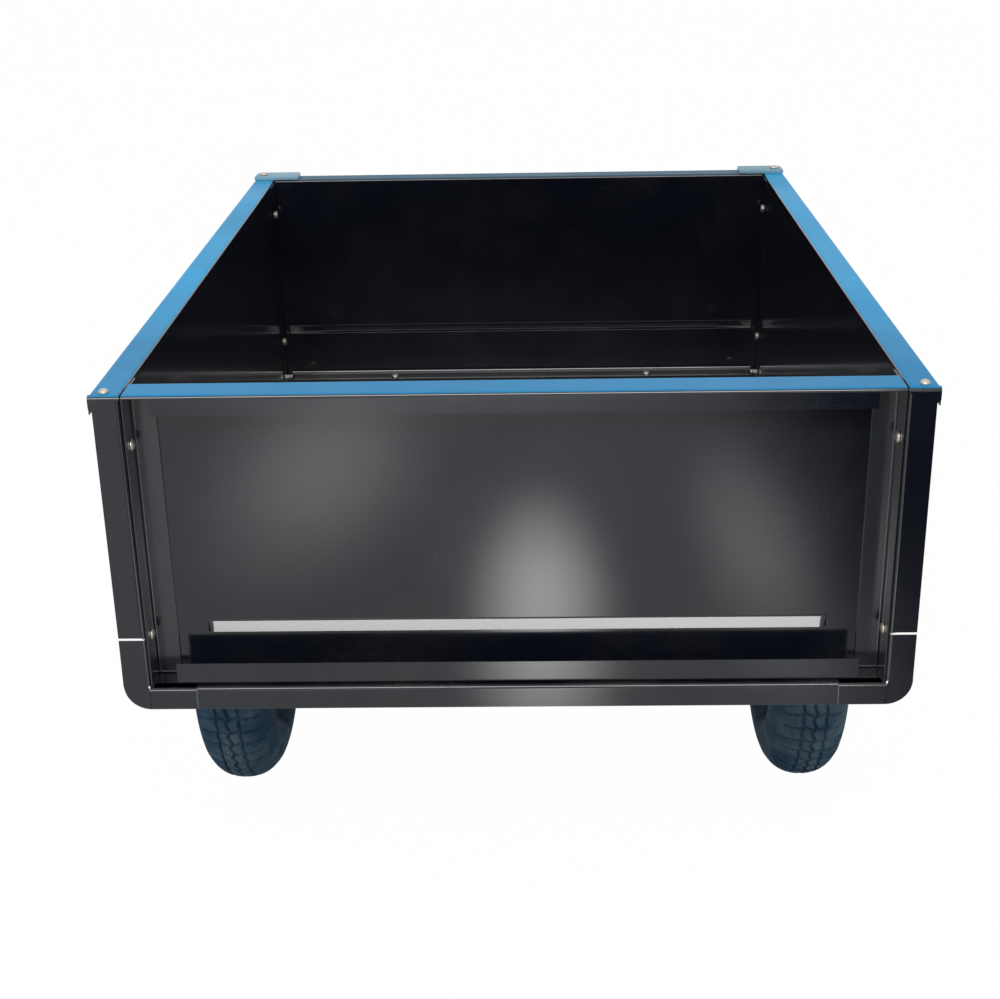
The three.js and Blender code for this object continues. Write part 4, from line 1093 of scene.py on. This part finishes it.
def glow_material(name, floor_level, pools, dark_from, dark_to):
    """Lit studio floor as the glossy sheet metal mirrors it: soft pools of light on a plain
    level that falls away to one side. Each pool is (x, y, half width, half length, strength).
    """
    material = bpy.data.materials.new(name)
    material.use_nodes = True
    tree = material.node_tree
    tree.nodes.remove(tree.nodes["Principled BSDF"])
    place = tree.nodes.new("ShaderNodeTexCoord").outputs["Object"]
    split = tree.nodes.new("ShaderNodeSeparateXYZ")
    tree.links.new(place, split.inputs[0])
    x, y = split.outputs["X"], split.outputs["Y"]
    level = ramp(tree, x, dark_from, dark_to, floor_level, 0.0)
    for centre_x, centre_y, wide, long, strength in pools:
        across = math_node(tree, "DIVIDE", math_node(tree, "SUBTRACT", x, centre_x), wide)
        away = math_node(tree, "DIVIDE", math_node(tree, "SUBTRACT", y, centre_y), long)
        reach = math_node(tree, "SQRT", math_node(
            tree, "ADD", math_node(tree, "POWER", math_node(tree, "ABSOLUTE", across), 2.0),
            math_node(tree, "POWER", math_node(tree, "ABSOLUTE", away), 2.0)))
        level = math_node(tree, "ADD", level, ramp(tree, reach, 0.0, 1.0, strength, 0.0))
    glow = tree.nodes.new("ShaderNodeEmission")
    tree.links.new(level, glow.inputs["Strength"])
    tree.links.new(glow.outputs[0], tree.nodes["Material Output"].inputs["Surface"])
    return material


def flat_card(name, corners, material):
    mesh = bpy.data.meshes.new(name)
    mesh.from_pydata(corners, [], [list(range(len(corners)))])
    mesh.materials.append(material)
    obj = scene_object(name, mesh)
    return obj


FLOOR_REACH = 14.0
FLOOR_WHITENESS = 0.99
CARD = (-2.6, -4.4, 2.6, -1.05, 0.02)     # low x and y, high x and y, height


def rectangle(low_x, low_y, high_x, high_y, z):
    return [(low_x, low_y, z), (high_x, low_y, z), (high_x, high_y, z), (low_x, high_y, z)]


flat_card("floor", rectangle(-FLOOR_REACH, -FLOOR_REACH, FLOOR_REACH, FLOOR_REACH, 0),
          stage_material("pale_floor", (0.9, 0.9, 0.9, 1.0), FLOOR_WHITENESS))
POOLS = ((-0.42, -2.4, 0.28, 0.75, 1.8), (0.03, -1.76, 0.15, 0.6, 6.0),
         (0.42, -2.0, 0.15, 0.7, 1.4), (-0.25, -3.3, 0.95, 0.75, 1.3))
glow_card = flat_card("glow_card", rectangle(*CARD),
                      glow_material("lit_floor", 0.8, POOLS, 0.3, 0.74))
glow_card.visible_camera = False
glow_card.visible_shadow = False

world = bpy.data.worlds.new("studio")
bpy.context.scene.world = world
world.use_nodes = True
sky = world.node_tree
background = sky.nodes["Background"]
paths = sky.nodes.new("ShaderNodeLightPath")
seen = math_node(sky, "MAXIMUM", math_node(sky, "MAXIMUM", paths.outputs["Is Camera Ray"],
                                           paths.outputs["Is Glossy Ray"]),
                 paths.outputs["Is Transmission Ray"])
background.inputs["Color"].default_value = (1.0, 1.0, 1.0, 1.0)
sky.links.new(ramp(sky, seen, 0.0, 1.0, 0.45, 1.0), background.inputs["Strength"])


def soft_lamp(name, place, aim, size, power):
    """A rectangular soft box at a place, turned towards an aim."""
    data = bpy.data.lights.new(name, "AREA")
    data.shape = "RECTANGLE"
    data.size, data.size_y = size
    data.energy = power
    obj = scene_object(name, data)
    towards = (Vector(aim) - Vector(place)).to_track_quat("-Z", "Y")
    obj.matrix_world = Matrix.Translation(place) @ towards.to_matrix().to_4x4()
    return obj


middle = Vector((0, axle_y, rail_top / 2))
soft_lamp("overhead", (0.0, 0.2, 3.4), middle, (3.6, 3.6), 20.0)
soft_lamp("over_camera", (-0.1, -2.6, 2.1), (0.0, gate_y, 0.45), (1.9, 0.6), 42.0)

CAMERA_PLACE = (20.5 * MM, rear_y - 1496.9 * MM, rail_top + 500.7 * MM)
CAMERA_PITCH = math.radians(22.24)
CAMERA_YAW = math.radians(1.30)
CAMERA_ROLL = math.radians(1.05)
camera_data = bpy.data.cameras.new("camera")
camera_data.sensor_width = 36.0
camera_data.lens = 58.96
camera_data.clip_end = 60.0
camera = scene_object("camera", camera_data)
level = Matrix.Rotation(CAMERA_YAW, 4, "Z") @ Matrix.Rotation(math.pi / 2 - CAMERA_PITCH, 4, "X")
camera.matrix_world = (Matrix.Translation(CAMERA_PLACE) @ level
                       @ Matrix.Rotation(-CAMERA_ROLL, 4, "Z"))
bpy.context.scene.camera = camera
bpy.context.scene.view_settings.view_transform = "Standard"
